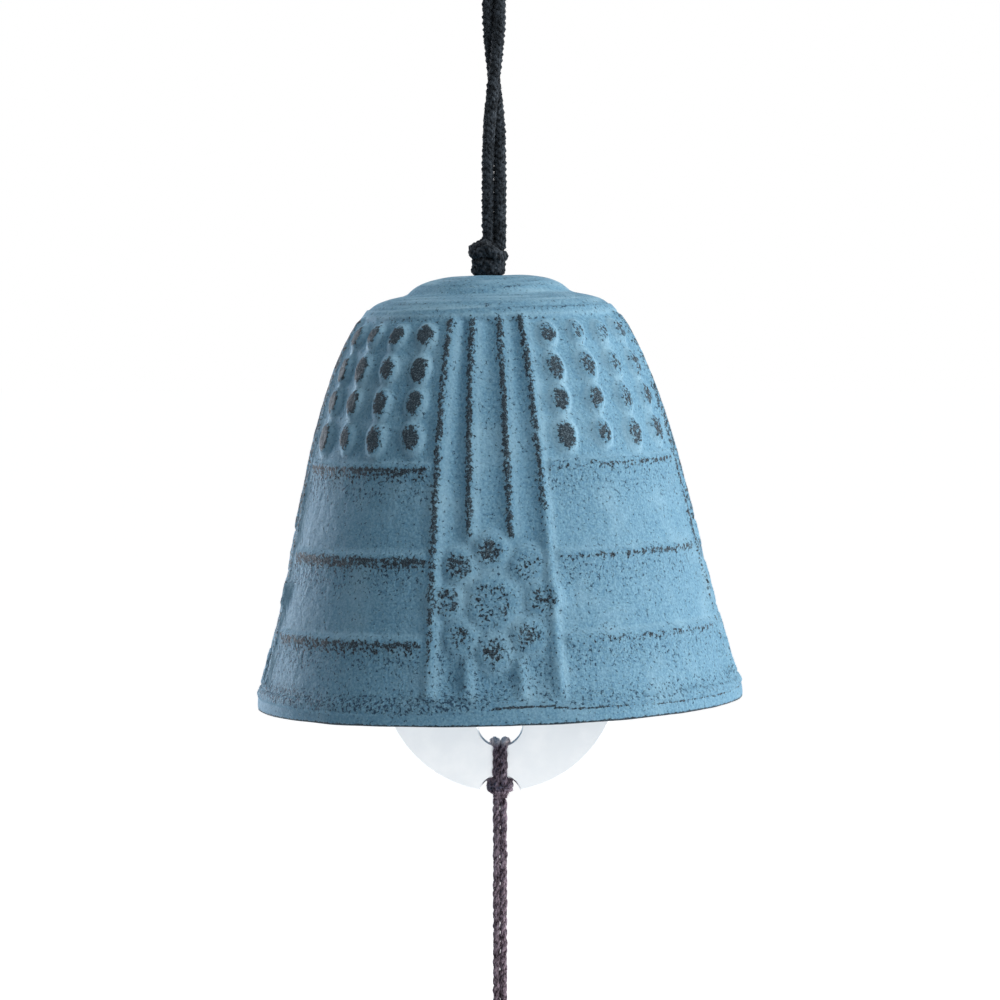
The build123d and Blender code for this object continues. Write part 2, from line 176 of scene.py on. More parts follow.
def read_vectors(mesh: bpy.types.Mesh, name: str) -> np.ndarray:
    """Read one vector a vertex from a mesh.

    Args:
        mesh: the mesh.
        name: co for the places or normal for the normals.

    Returns:
        The vectors, one row each.
    """
    flat = np.empty(len(mesh.vertices) * 3)
    mesh.vertices.foreach_get(name, flat)
    return flat.reshape(-1, 3)


def store_values(mesh: bpy.types.Mesh, name: str, values: np.ndarray) -> None:
    """Store one value a vertex under a name that a material reads."""
    mesh.attributes.new(name, "FLOAT", "POINT").data.foreach_set("value", values.astype(np.float32))


def smooth_step(value: np.ndarray, low: float, high: float) -> np.ndarray:
    """Smoothly 0 below low and 1 above high."""
    share = np.clip((value - low) / (high - low), 0, 1)
    return share * share * (3 - 2 * share)


def plateau(value: np.ndarray, rise: Span, fall: Span) -> np.ndarray:
    """Smoothly 1 between a rise and a fall, and 0 outside them."""
    return smooth_step(value, *rise) * (1 - smooth_step(value, *fall))


def hump(value: np.ndarray, middle: float, width: float | np.ndarray, power: float = 2) -> np.ndarray:
    """1 at the middle and falling to 0 on both sides, with a flatter top for a higher power."""
    return np.exp(-(np.abs((value - middle) / width) ** power))


def dome(off: np.ndarray, power: float) -> np.ndarray:
    """The height of a cast dome: 1 on its flat top and falling past its edge, where off is 1."""
    return np.clip(1.3 * np.exp(-0.62 * off**power), 0, 1)


def from_front(angle: np.ndarray) -> np.ndarray:
    """Degrees about the bell's axis, counted from the side that faces the viewer."""
    return (np.asarray(angle) + 90 + 180) % 360 - 180


class Shader:
    """A material's node tree, with short calls for the nodes that the finishes use."""

    def __init__(self, name: str) -> None:
        """Start a material with one Principled shader.

        Args:
            name: the material's name.
        """
        self.material = bpy.data.materials.new(name)
        self.material.use_nodes = True
        self.nodes = self.material.node_tree.nodes
        self.links = self.material.node_tree.links
        self.nodes.clear()
        self.output = self.nodes.new("ShaderNodeOutputMaterial")
        self.surface = self.nodes.new("ShaderNodeBsdfPrincipled")
        self.links.new(self.surface.outputs["BSDF"], self.output.inputs["Surface"])
        self.place = self.nodes.new("ShaderNodeTexCoord").outputs["Object"]

    def set(self, values: dict[str, float]) -> None:
        """Set plain values on the Principled shader's own sockets, each under its socket's name."""
        for name, value in values.items():
            self.surface.inputs[name].default_value = value

    def noise(self, scale: float, detail: float, rough: float = 0.55, squash: Point = (1, 1, 1)) -> Socket:
        """Noise in the piece's own coordinates.

        Args:
            scale: how many features there are in a metre.
            detail: octaves of finer noise.
            rough: how much the finer octaves count.
            squash: stretch of the coordinates along each axis.

        Returns:
            The noise's value socket.
        """
        mapping = self.nodes.new("ShaderNodeMapping")
        mapping.inputs["Scale"].default_value = squash
        self.links.new(self.place, mapping.inputs["Vector"])
        node = self.nodes.new("ShaderNodeTexNoise")
        node.inputs["Scale"].default_value = scale
        node.inputs["Detail"].default_value = detail
        node.inputs["Roughness"].default_value = rough
        self.links.new(mapping.outputs["Vector"], node.inputs["Vector"])
        return node.outputs["Fac"]

    def attribute(self, name: str) -> Socket:
        """The value that a mesh stores under a name.

        Args:
            name: the attribute's name.

        Returns:
            The value socket.
        """
        node = self.nodes.new("ShaderNodeAttribute")
        node.attribute_name = name
        return node.outputs["Fac"]

    def math(self, operation: str, *terms: float | Socket) -> Socket:
        """A Math node.

        Args:
            operation: the node's operation.
            terms: its inputs, numbers or sockets.

        Returns:
            The result's socket.
        """
        node = self.nodes.new("ShaderNodeMath")
        node.operation = operation
        for socket, term in zip(node.inputs, terms):
            self._feed(socket, term)
        return node.outputs[0]

    def times(self, value: Socket, factor: float | Socket) -> Socket:
        """A value times a factor."""
        return self.math("MULTIPLY", value, factor)

    def ramp(self, value: Socket, low: float, high: float) -> Socket:
        """Smoothly 0 below low and 1 above high.

        Args:
            value: the value to place between the two.
            low: where the rise starts.
            high: where it ends.

        Returns:
            The result's socket.
        """
        node = self.nodes.new("ShaderNodeMapRange")
        node.interpolation_type = "SMOOTHSTEP"
        node.inputs["From Min"].default_value = low
        node.inputs["From Max"].default_value = high
        self.links.new(value, node.inputs["Value"])
        return node.outputs["Result"]

    def mix(self, share: Socket, first: Socket | Colour, second: Socket | Colour) -> Socket:
        """A colour mixed from two.

        Args:
            share: 0 for the first colour and 1 for the second.
            first: the first colour.
            second: the second colour.

        Returns:
            The mixed colour's socket.
        """
        node = self.nodes.new("ShaderNodeMix")
        node.data_type = "RGBA"
        self.links.new(share, node.inputs["Factor"])
        for socket, term in zip([s for s in node.inputs if s.type == "RGBA"], (first, second)):
            self._feed(socket, term)
        return [s for s in node.outputs if s.type == "RGBA"][0]

    def base(self, socket: Socket) -> None:
        """Feed the base colour."""
        self.links.new(socket, self.surface.inputs["Base Color"])

    def bump(self, height: Socket, depth: float, strength: float = 1.0) -> None:
        """Add a bump on top of the bumps already there.

        Args:
            height: the socket that gives the height.
            depth: how far the full height stands out, in millimetres.
            strength: how strongly it counts.
        """
        node = self.nodes.new("ShaderNodeBump")
        node.inputs["Distance"].default_value = depth * MM
        node.inputs["Strength"].default_value = strength
        self.links.new(height, node.inputs["Height"])
        normal = self.surface.inputs["Normal"]
        if normal.is_linked:
            self.links.new(normal.links[0].from_socket, node.inputs["Normal"])
        self.links.new(node.outputs["Normal"], normal)

    def _feed(self, socket: Socket, term: float | Colour | Socket) -> None:
        """Link a socket to an input, or set the input to a plain value.

        Args:
            socket: the input.
            term: the socket or the value that it takes.
        """
        if isinstance(term, Socket):
            self.links.new(term, socket)
        else:
            socket.default_value = term


@dataclass(frozen=True)
class WornPaint:
    """Thin matte paint on sand-cast iron, rubbed through to dark metal on the crests.

    Clouds, mottles, grains, pits and flecks count the features to a metre. The depths are in millimetres. The
    pale share is dusty paint in clouds and painted highlights on edges and lit flanks.
    """

    light: Colour = colour(137, 184, 207)
    deep: Colour = colour(106, 155, 186)
    dust_and_highlight: Colour = colour(164, 207, 228)
    pit: Colour = colour(44, 72, 96)
    iron: Colour = colour(12, 15, 21)
    scale: Colour = colour(96, 110, 119)
    clouds: float = 150.0
    mottles: float = 1300.0
    grains: float = 3300.0
    pits: float = 2500.0
    flecks: float = 6200.0
    mottle_depth: float = 0.19
    grain_depth: float = 0.08
    pit_depth: float = 0.08
    paint_depth: float = 0.06

    def material(self) -> bpy.types.Material:
        """Build the material.

        Returns:
            The worn paint, which reads the attributes for wear, for dirt with painted shade, and for pale paint
            with painted highlights.
        """
        shade = Shader("worn_blue_paint")
        mottle = shade.noise(self.mottles, 3, 0.6)
        grain = shade.noise(self.grains, 3, 0.6)
        pits = shade.noise(self.pits, 3, 0.65)
        flecks = shade.noise(self.flecks, 2, 0.6)
        grime_and_shade = shade.attribute("grime_and_shade")
        paint = shade.mix(shade.ramp(grain, 0.34, 0.68), self.deep, self.light)
        # Pale paint: dusty clouds, and painted highlights on edges and lit flanks.
        paint = shade.mix(self._dust_and_highlights(shade), paint, self.dust_and_highlight)
        # More dark pits where the mesh notes dirt and painted shade.
        dirt_and_shade = shade.math("ADD", pits, shade.times(grime_and_shade, 0.075))
        speckle = shade.times(shade.ramp(dirt_and_shade, 0.60, 0.71), 0.9)
        paint = shade.mix(speckle, paint, self.pit)
        bare = self._bare(shade, mottle, pits)
        metal = shade.mix(shade.ramp(flecks, 0.46, 0.66), self.iron, self.scale)
        shade.base(shade.mix(bare, paint, metal))
        shade.set({"Metallic": 0.0, "Roughness": 0.62, "Specular IOR Level": 0.17})
        rough = shade.math("ADD", shade.times(grime_and_shade, 0.9), 0.85)
        shade.bump(shade.times(mottle, rough), self.mottle_depth)
        shade.bump(shade.times(grain, rough), self.grain_depth)
        shade.bump(shade.times(speckle, -1.0), self.pit_depth)
        shade.bump(shade.times(bare, -1.0), self.paint_depth, 0.8)
        return shade.material

    def _dust_and_highlights(self, shade: Shader) -> Socket:
        """Where the paint is pale: dusty clouds all over, and painted highlights along the edges and lit flanks
        that the mesh notes.

        Args:
            shade: the material's node tree.

        Returns:
            The share of the pale colour.
        """
        clouds = shade.times(shade.ramp(shade.noise(self.clouds, 3), 0.48, 0.74), 0.4)
        # The mesh's pale share: brush streaks on the crown and painted highlights on the relief.
        edges = shade.times(shade.attribute("pale"), 0.75)
        return shade.math("MINIMUM", shade.math("ADD", clouds, edges), 1.0)

    @staticmethod
    def _bare(shade: Shader, mottle: Socket, pits: Socket) -> Socket:
        """Where the paint is gone: the wear that the mesh notes, with a ragged edge.

        Args:
            shade: the material's node tree.
            mottle: the coarse noise.
            pits: the fine noise.

        Returns:
            The share of bare metal.
        """
        edge = shade.math("ADD", shade.attribute("wear"), shade.math("SUBTRACT", mottle, 0.5))
        edge = shade.math("ADD", edge, shade.times(shade.math("SUBTRACT", pits, 0.5), 1.6))
        return shade.times(shade.ramp(edge, 0.41, 0.64), 0.92)


@dataclass(frozen=True)
class CottonCord:
    """Spun cotton in one colour, with fibres that run along the plies, and a painted highlight where a mesh
    notes a bend.
    """

    name: str
    dark: Colour
    light: Colour
    fibres: float = 4200.0
    # The near-white colour of the painted highlight where a string bends over the web.
    bend_highlight: Colour = colour(252, 238, 238)
    fibre_depth: float = 0.08

    def material(self) -> bpy.types.Material:
        """Build the material.

        Returns:
            The cotton, which reads the attribute bend where a mesh has one, for a painted highlight.
        """
        shade = Shader(self.name)
        strands = shade.noise(self.fibres, 3, 0.7, (1.0, 1.0, 0.35))
        clump = shade.noise(self.fibres / 5, 2)
        share = shade.math("ADD", shade.times(strands, 0.7), shade.times(clump, 0.3))
        cotton = shade.mix(shade.ramp(share, 0.36, 0.68), self.dark, self.light)
        # Painted highlight where the mesh notes a bend, on the fibres' crests.
        bend = shade.times(shade.attribute("bend"), shade.ramp(share, 0.30, 0.50))
        shade.base(shade.mix(bend, cotton, self.bend_highlight))
        shade.set({
            "Metallic": 0.0, "Roughness": 0.9, "Specular IOR Level": 0.1, "Sheen Weight": 0.06,
            "Sheen Roughness": 0.5,
        })
        shade.bump(strands, self.fibre_depth, 0.9)
        return shade.material


@dataclass(frozen=True)
class RolledAluminium:
    """Bare rolled aluminium sheet, satin and nearly white, with fine scratches."""

    bright: Colour = colour(236, 239, 241)
    dull: Colour = colour(229, 233, 236)
    scratches: float = 700.0
    spots: float = 260.0
    scratch_depth: float = 0.02

    def material(self) -> bpy.types.Material:
        """Build the material.

        Returns:
            The satin metal.
        """
        shade = Shader("rolled_aluminium")
        rolled = shade.noise(self.scratches, 3, 0.6, (0.05, 1.0, 1.0))
        spots = shade.noise(self.spots, 3)
        shade.base(shade.mix(shade.ramp(spots, 0.35, 0.7), self.dull, self.bright))
        shade.set({"Metallic": 0.93, "Roughness": 0.4})
        shade.bump(rolled, self.scratch_depth, 0.5)
        return shade.material


@dataclass(frozen=True)
class StripPaper:
    """Stiff warm-white paper with long fibres in it."""

    sheet: Colour = colour(250, 246, 236)
    fibre: Colour = colour(233, 225, 207)
    fibres: float = 420.0
    pulp: float = 1500.0
    pulp_depth: float = 0.05
    fibre_depth: float = 0.06

    def material(self) -> bpy.types.Material:
        """Build the material.

        Returns:
            The matte paper.
        """
        shade = Shader("strip_paper")
        fibres = shade.noise(self.fibres, 5, 0.75, (1.0, 1.0, 0.18))
        pulp = shade.noise(self.pulp, 3, 0.6)
        shade.base(shade.mix(shade.ramp(fibres, 0.56, 0.74), self.sheet, self.fibre))
        shade.set({"Metallic": 0.0, "Roughness": 0.85})
        shade.bump(pulp, self.pulp_depth, 0.5)
        shade.bump(fibres, self.fibre_depth, 0.4)
        return shade.material


def smooth_line(route: Route) -> np.ndarray:
    """The smooth line of a cord, as Blender's own spline gives it for its route.

    Args:
        route: the route's points in millimetres, the same as in the part's source.

    Returns:
        The line's points in metres, one row each.
    """
    curve = bpy.data.curves.new("line", "CURVE")
    curve.dimensions = "3D"
    curve.resolution_u = LINE_STEPS
    spline = curve.splines.new("NURBS")
    spline.points.add(len(route) - 1)
    for point, place in zip(spline.points, route):
        point.co = (*[c * MM for c in place], 1.0)
    spline.order_u = 3
    spline.use_endpoint_u = True
    holder = bpy.data.objects.new("line", curve)
    bpy.context.collection.objects.link(holder)
    mesh = bpy.data.meshes.new_from_object(holder)
    line = np.array([v.co for v in mesh.vertices])
    bpy.data.objects.remove(holder)
    bpy.data.curves.remove(curve)
    bpy.data.meshes.remove(mesh)
    return line


def distances(line: np.ndarray) -> np.ndarray:
    """The distance along a line from its first point to each of its points."""
    return np.concatenate([[0.0], np.cumsum(np.linalg.norm(np.diff(line, axis=0), axis=1))])


def even_line(line: np.ndarray, step: float) -> np.ndarray:
    """The same line with its points about one step apart.

    Args:
        line: points in metres.
        step: the distance wanted, in metres.

    Returns:
        The points, evenly spaced.
    """
    run = distances(line)
    count = max(int(round(run[-1] / step)), 4)
    places = np.linspace(0, run[-1], count + 1)
    return np.stack([np.interp(places, run, line[:, k]) for k in range(3)], axis=1)


def frames(line: np.ndarray) -> tuple[np.ndarray, np.ndarray]:
    """Two crossing directions at each point of a line that turn as little as they can.

    Args:
        line: points in metres.

    Returns:
        Two arrays of unit vectors, both square to the line.
    """
    along = np.gradient(line, axis=0)
    along /= np.linalg.norm(along, axis=1, keepdims=True)
    start = np.array([0.0, 1.0, 0.0]) if abs(along[0][1]) < 0.9 else np.array([1.0, 0.0, 0.0])
    first = [start - along[0] * (start @ along[0])]
    for way in along[1:]:
        first.append(first[-1] - way * (first[-1] @ way))
        first[-1] = first[-1] / np.linalg.norm(first[-1])
    first[0] = first[0] / np.linalg.norm(first[0])
    first = np.array(first)
    return first, np.cross(along, first)


@dataclass
class PliedCord:
    """A cord of twisted or braided plies along a line, with loose fibres standing off it."""

    name: str
    diameter: float
    pitch: float
    start_turn: float = 0.0
    plies: int = 3
    fullness: float = 1.3
    lumps: float = 0.035
    wander: float = 0.12
    swelling: float = 0.08
    unevenness: float = 0.04
    braided: bool = False
    braid_pairs: int = 4
    braid_share: float = 0.36
    braid_weave: float = 0.07
    braid_core: float = 1.9
    fuzz: int = 150
    fuzz_length: float = 0.4
    fuzz_root: float = 0.72
    fibre_radius: float = 0.016
    fibre_taper: tuple[float, ...] = (1.0, 0.9, 0.7, 0.3)

    def build(self, lines: list[np.ndarray], finish: bpy.types.Material) -> bpy.types.Object:
        """Make the cord along one or more lines.

        Args:
            lines: each line's points in metres.
            finish: the cotton's material.

        Returns:
            One mesh object.
        """
        share = self.fullness / (1 + 1 / math.sin(math.pi / self.plies))
        if self.braided:
            share = self.braid_share
        curve = self._curve(self.name, self.diameter / 2 * share)
        curve.bevel_resolution = 1
        curve.use_fill_caps = True
        # Each cord has its own lumps, which follow from where it starts.
        rng = np.random.default_rng(int(1000 * abs(lines[0][0]).sum()) % SEEDS)
        for line in lines:
            even = even_line(line, self._step())
            side, up = frames(even)
            spacing = np.linalg.norm(np.diff(even, axis=0), axis=1).mean()
            turn = 2 * math.pi * np.arange(len(even)) * spacing / (self.pitch * MM)
            for angle, out in self._plies(turn, share):
                around = np.cos(angle)[:, None] * side + np.sin(angle)[:, None] * up
                path = even + (out * MM)[:, None] * around
                rough = rng.normal(0, self.lumps * MM, path.shape)
                path[1:-1] += (rough[:-2] + rough[1:-1] + rough[2:]) / 2
                radii = 1 + self.swelling * np.sin(angle * 2.3 + out)
                self._spline(curve, path, radii + rng.normal(0, self.unevenness, len(path)))
            if self.braided:
                self._spline(curve, even, np.full(len(even), self.braid_core))
        obj = to_mesh(self.name, curve)
        if self.fuzz:
            self._add_fuzz(obj, lines)
        obj.data.materials.clear()
        obj.data.materials.append(finish)
        select_only(obj)
        bpy.ops.object.shade_smooth()
        return obj

    def _step(self) -> float:
        """The distance between the points that a ply is drawn through, in metres."""
        return self.diameter * MM / 6

    def _plies(self, turn: np.ndarray, share: float) -> list[tuple[np.ndarray, np.ndarray]]:
        """Where each ply lies about the cord's line.

        Args:
            turn: how far the cord has turned at each point, in radians.
            share: a ply's radius as a share of the cord's.

        Returns:
            For each ply its angle and its distance from the line in millimetres, at each point.
        """
        offset = self.diameter / 2 * (1 - share)
        if not self.braided:
            angles = [turn + self.start_turn + 2 * math.pi * k / self.plies for k in range(self.plies)]
            return [(angle, offset * (1 + self.wander * np.sin(angle * 1.7))) for angle in angles]
        weave = self.diameter * self.braid_weave * np.cos(self.braid_pairs * turn)
        plies = []
        for k in range(self.braid_pairs):
            quarter = self.start_turn + 2 * math.pi / self.braid_pairs * k
            plies += [(quarter + turn, offset + weave), (quarter - turn, offset - weave)]
        return plies

    @staticmethod
    def _curve(name: str, radius: float) -> bpy.types.Curve:
        """An empty curve that is drawn as a round strand.

        Args:
            name: the curve's name.
            radius: the strand's radius.

        Returns:
            The curve.
        """
        curve = bpy.data.curves.new(name, "CURVE")
        curve.dimensions = "3D"
        curve.bevel_depth = radius * MM
        return curve

    @staticmethod
    def _spline(curve: bpy.types.Curve, path: np.ndarray, radii: np.ndarray) -> None:
        """Add a strand to a curve.

        Args:
            curve: the curve.
            path: the strand's points in metres.
            radii: its radius at each point, as a share of the curve's.
        """
        spline = curve.splines.new("POLY")
        spline.points.add(len(path) - 1)
        spline.points.foreach_set("co", np.hstack([path, np.ones((len(path), 1))]).ravel())
        spline.points.foreach_set("radius", radii)

    def _add_fuzz(self, obj: bpy.types.Object, lines: list[np.ndarray]) -> None:
        """Join loose fibres to a cord's mesh.

        Args:
            obj: the cord's mesh object.
            lines: the lines that it follows, in metres.
        """
        rng = np.random.default_rng(len(self.name) * 31 + int(self.diameter * 100))
        hairs = self._curve(self.name + "_fibres", self.fibre_radius)
        hairs.bevel_resolution = 0
        taper = np.array(self.fibre_taper)
        steps = np.linspace(0, 1, len(taper))[:, None]
        for line in lines:
            even = even_line(line, self._step())
            side, up = frames(even)
            for _ in range(self.fuzz):
                at = rng.integers(1, len(even) - 2)
                angle = rng.uniform(0, 2 * math.pi)
                out = math.cos(angle) * side[at] + math.sin(angle) * up[at]
                along = even[at + 1] - even[at - 1]
                along = along / np.linalg.norm(along) * rng.choice((-1, 1))
                length = self.fuzz_length * MM * rng.uniform(0.5, 1.3)
                root = even[at] + out * self.diameter / 2 * MM * self.fuzz_root
                bend = rng.uniform(-0.5, 0.5) * np.cross(out, along)
                rise = out * rng.uniform(0.25, 0.75) + bend
                self._spline(hairs, root + length * (steps * along * 0.9 + steps**1.5 * rise), taper)
        join(obj, to_mesh(hairs.name, hairs))


@dataclass(frozen=True)
class Turn:
    """One turn of cord on a knot. Places and its ring's radius are shares of the knot's radius."""

    ring: float
    x: float = 0.0
    y: float = 0.0
    z: float = 0.0
    tilt_x: float = 0.0
    tilt_y: float = 0.0
    sides: int = 48
    oval: float = 0.05
    rise: float = 0.06

    def line(self, radius: float, flip: bool) -> np.ndarray:
        """The turn's line in metres about the knot's middle.

        Args:
            radius: the knot's radius in millimetres.
            flip: True to turn the seat upwards.

        Returns:
            The line's points, one row each.
        """
        angle = np.linspace(0, 2 * math.pi, self.sides + 1)
        wave = 1 + self.oval * np.sin(2 * angle + self.z * 5)
        rise = self.rise * np.sin(3 * angle)
        circle = np.stack([np.cos(angle) * wave, np.sin(angle) * wave, rise], axis=1)
        tilt = Matrix.Rotation(math.radians(self.tilt_y), 3, "Y")
        tilt = tilt @ Matrix.Rotation(math.radians(self.tilt_x), 3, "X")
        circle = self.ring * circle @ np.array(tilt).T + np.array([self.x, self.y, self.z])
        return circle * radius * MM * np.array([1, 1, -1 if flip else 1])


PLAIN_TURNS = (
    Turn(0.62, 0, 0, -0.62, 4, -3),
    Turn(0.72, -0.03, 0, -0.02, -8, 7),
    Turn(0.42, -0.12, -0.1, 0.5, 12, -22),
    Turn(0.5, 0.12, 0.1, 0.3, -10, 34),
)
CROWN_TURNS = (
    Turn(0.61, 0.0, 0.0, -0.70, 2, 0),
    Turn(0.64, 0.02, 0.0, -0.36, 3, 4),
    Turn(0.74, 0.0, 0.0, 0.10, -6, 6),
    Turn(0.36, -0.42, -0.1, 0.50, 10, -30),
    Turn(0.52, 0.20, -0.38, 0.16, -8, 42),
    Turn(0.40, 0.20, 0.25, 0.42, 8, -10),
)


@dataclass(frozen=True)
class Knot:
    """A pulled-tight overhand knot: where it sits, what it rides on and the turns of cord that show on it."""

    node: str
    centre: Point
    radius: float
    body: Body
    flip: bool = False
    turns: tuple[Turn, ...] = PLAIN_TURNS
    pitch: float = 3.4
    core: float = 0.72
    braided: bool = True
    fuzz: int = 130

    def build(self, diameter: float, slot: str, cotton: bpy.types.Material) -> None:
        """Make the knot's turns about a round core, set it in its place and hand it over.

        Args:
            diameter: the cord's diameter.
            slot: the name of a material slot; not used.
            cotton: the cord's material.
        """
        lines = [turn.line(self.radius, self.flip) for turn in self.turns]
        cord = PliedCord(f"{self.node}_turns", diameter, self.pitch, braided=self.braided, fuzz=self.fuzz)
        knot = cord.build(lines, cotton)
        deselect()
        bpy.ops.mesh.primitive_ico_sphere_add(subdivisions=3, radius=self.core * self.radius * MM)
        core = bpy.context.object
        core.data.materials.append(cotton)
        join(knot, core)
        knot.location = [c * MM for c in self.centre]
        settle(knot)
        hand_over(knot, self.body, (self.node,))


@dataclass
class HangingCord:
    """The black cord above the bell: its loop, its doubled stretch and the knots at both ends."""

    diameter: float = 1.5
    pitch: float = 3.4
    loop: Route = field(default_factory=lambda: [
        (0.77, 0.0, -18.05), (0.77, 0.0, -15.6), (2.2, 0.0, -11.9), (4.4, 0.0, -7.2), (5.05, 0.0, -2.2),
        (2.09, 0.0, 0.75), (-2.09, 0.0, 0.75), (-5.05, 0.0, -2.2), (-4.4, 0.0, -7.2), (-2.2, 0.0, -11.9),
        (-0.77, 0.0, -15.6), (-0.77, 0.0, -18.05),
    ])
    left: Route = field(default_factory=lambda: [
        (-0.77, 0.0, -57.6), (-0.80, 0.06, -50.8), (-0.80, -0.14, -45.2), (-0.655, -0.476, -41.2),
        (-0.355, -0.728, -38.0), (0.0, -0.81, -34.9), (0.38, -0.715, -31.6), (0.655, -0.476, -28.2),
        (0.786, -0.196, -24.6), (0.77, 0.0, -21.4),
    ])
    right: Route = field(default_factory=lambda: [
        (0.77, 0.0, -57.6), (0.80, -0.06, -50.8), (0.80, 0.14, -45.2), (0.655, 0.476, -41.2),
        (0.355, 0.728, -38.0), (0.0, 0.81, -34.9), (-0.38, 0.715, -31.6), (-0.655, 0.476, -28.2),
        (-0.786, 0.196, -24.6), (-0.77, 0.0, -21.4),
    ])
    strand_swell: float = 1.12
    strand_turns: Span = (1.0, 2.2)
    strand_fuzz: int = 1500
    strand_fuzz_length: float = 0.5
    loop_fuzz: int = 700
    knots: tuple[Knot, ...] = (
        Knot("loop_knot", (0, 0, -20.5), 2.55, Body.HANGER, flip=True),
        Knot("crown_knot", (-0.786, 0, -58.622), 2.55, Body.CROWN_TIE, turns=CROWN_TURNS),
        Knot("retaining_knot", (0, 0, -67.321), 2.9, Body.CROWN_TIE, flip=True),
    )
    finish: CottonCord = CottonCord("black_cotton", colour(13, 16, 19), colour(80, 88, 96))

    def build(self) -> bpy.types.Material:
        """Build the cord, dress it and hand it over.

        Returns:
            The black cotton, for the cord inside the bell.
        """
        cotton = self.finish.material()
        loop = smooth_line(self.loop)
        cord = PliedCord("hanging_loop_cord", self.diameter, self.pitch, braided=True, fuzz=self.loop_fuzz)
        piece = cord.build([loop], cotton)
        hand_over(piece, Body.HANGER, ("hanging_loop",))
        for side, route, turn in zip(("left", "right"), (self.left, self.right), self.strand_turns):
            line = smooth_line(route)
            name = f"hanging_strand_{side}"
            cord = PliedCord(
                f"{name}_cord", self.diameter * self.strand_swell, self.pitch, turn, braided=True,
                fuzz=self.strand_fuzz, fuzz_length=self.strand_fuzz_length,
            )
            piece = cord.build([line], cotton)
            hand_over(piece, Body.CORD, (name,))
        for knot in self.knots:
            knot.build(self.diameter, "black_cord", cotton)
        return cotton


@dataclass
class InnerTie:
    """The black cord inside the bell: the doubled cord in the crown's hole and the eye under the knot."""

    diameter: float = 1.5
    pitch: float = 3.4
    throat_top: float = -61.07
    throat_foot: float = -64.57
    throat_middle: float = -0.393
    throat_points: int = 8
    half_pair: float = 0.77
    eye: Route = field(default_factory=lambda: [
        (-0.55, 0, -69.0), (-0.55, 0, -70.8), (-0.55, 0, -73.67), (2.15, 0, -73.67), (2.15, 0, -70.8),
        (2.15, 0, -69.0),
    ])
    eye_fuzz: int = 120

    def build(self, cotton: bpy.types.Material) -> None:
        """Build both stretches and hand them over.

        Args:
            cotton: the cord's material.
        """
        heights = np.linspace(self.throat_top, self.throat_foot, self.throat_points)
        strands = []
        for x in (self.throat_middle - self.half_pair, self.throat_middle + self.half_pair):
            strands.append(np.stack([np.full_like(heights, x), np.zeros_like(heights), heights], axis=1) * MM)
        cord = PliedCord("throat_cord_strands", self.diameter, self.pitch, braided=True, fuzz=0)
        piece = cord.build(strands, cotton)
        hand_over(piece, Body.CROWN_TIE, ("throat_cord",))
        cord = PliedCord("clapper_eye_bight", self.diameter, self.pitch, braided=True, fuzz=self.eye_fuzz)
        piece = cord.build([smooth_line(self.eye)], cotton)
        hand_over(piece, Body.EYE, ("clapper_eye",))


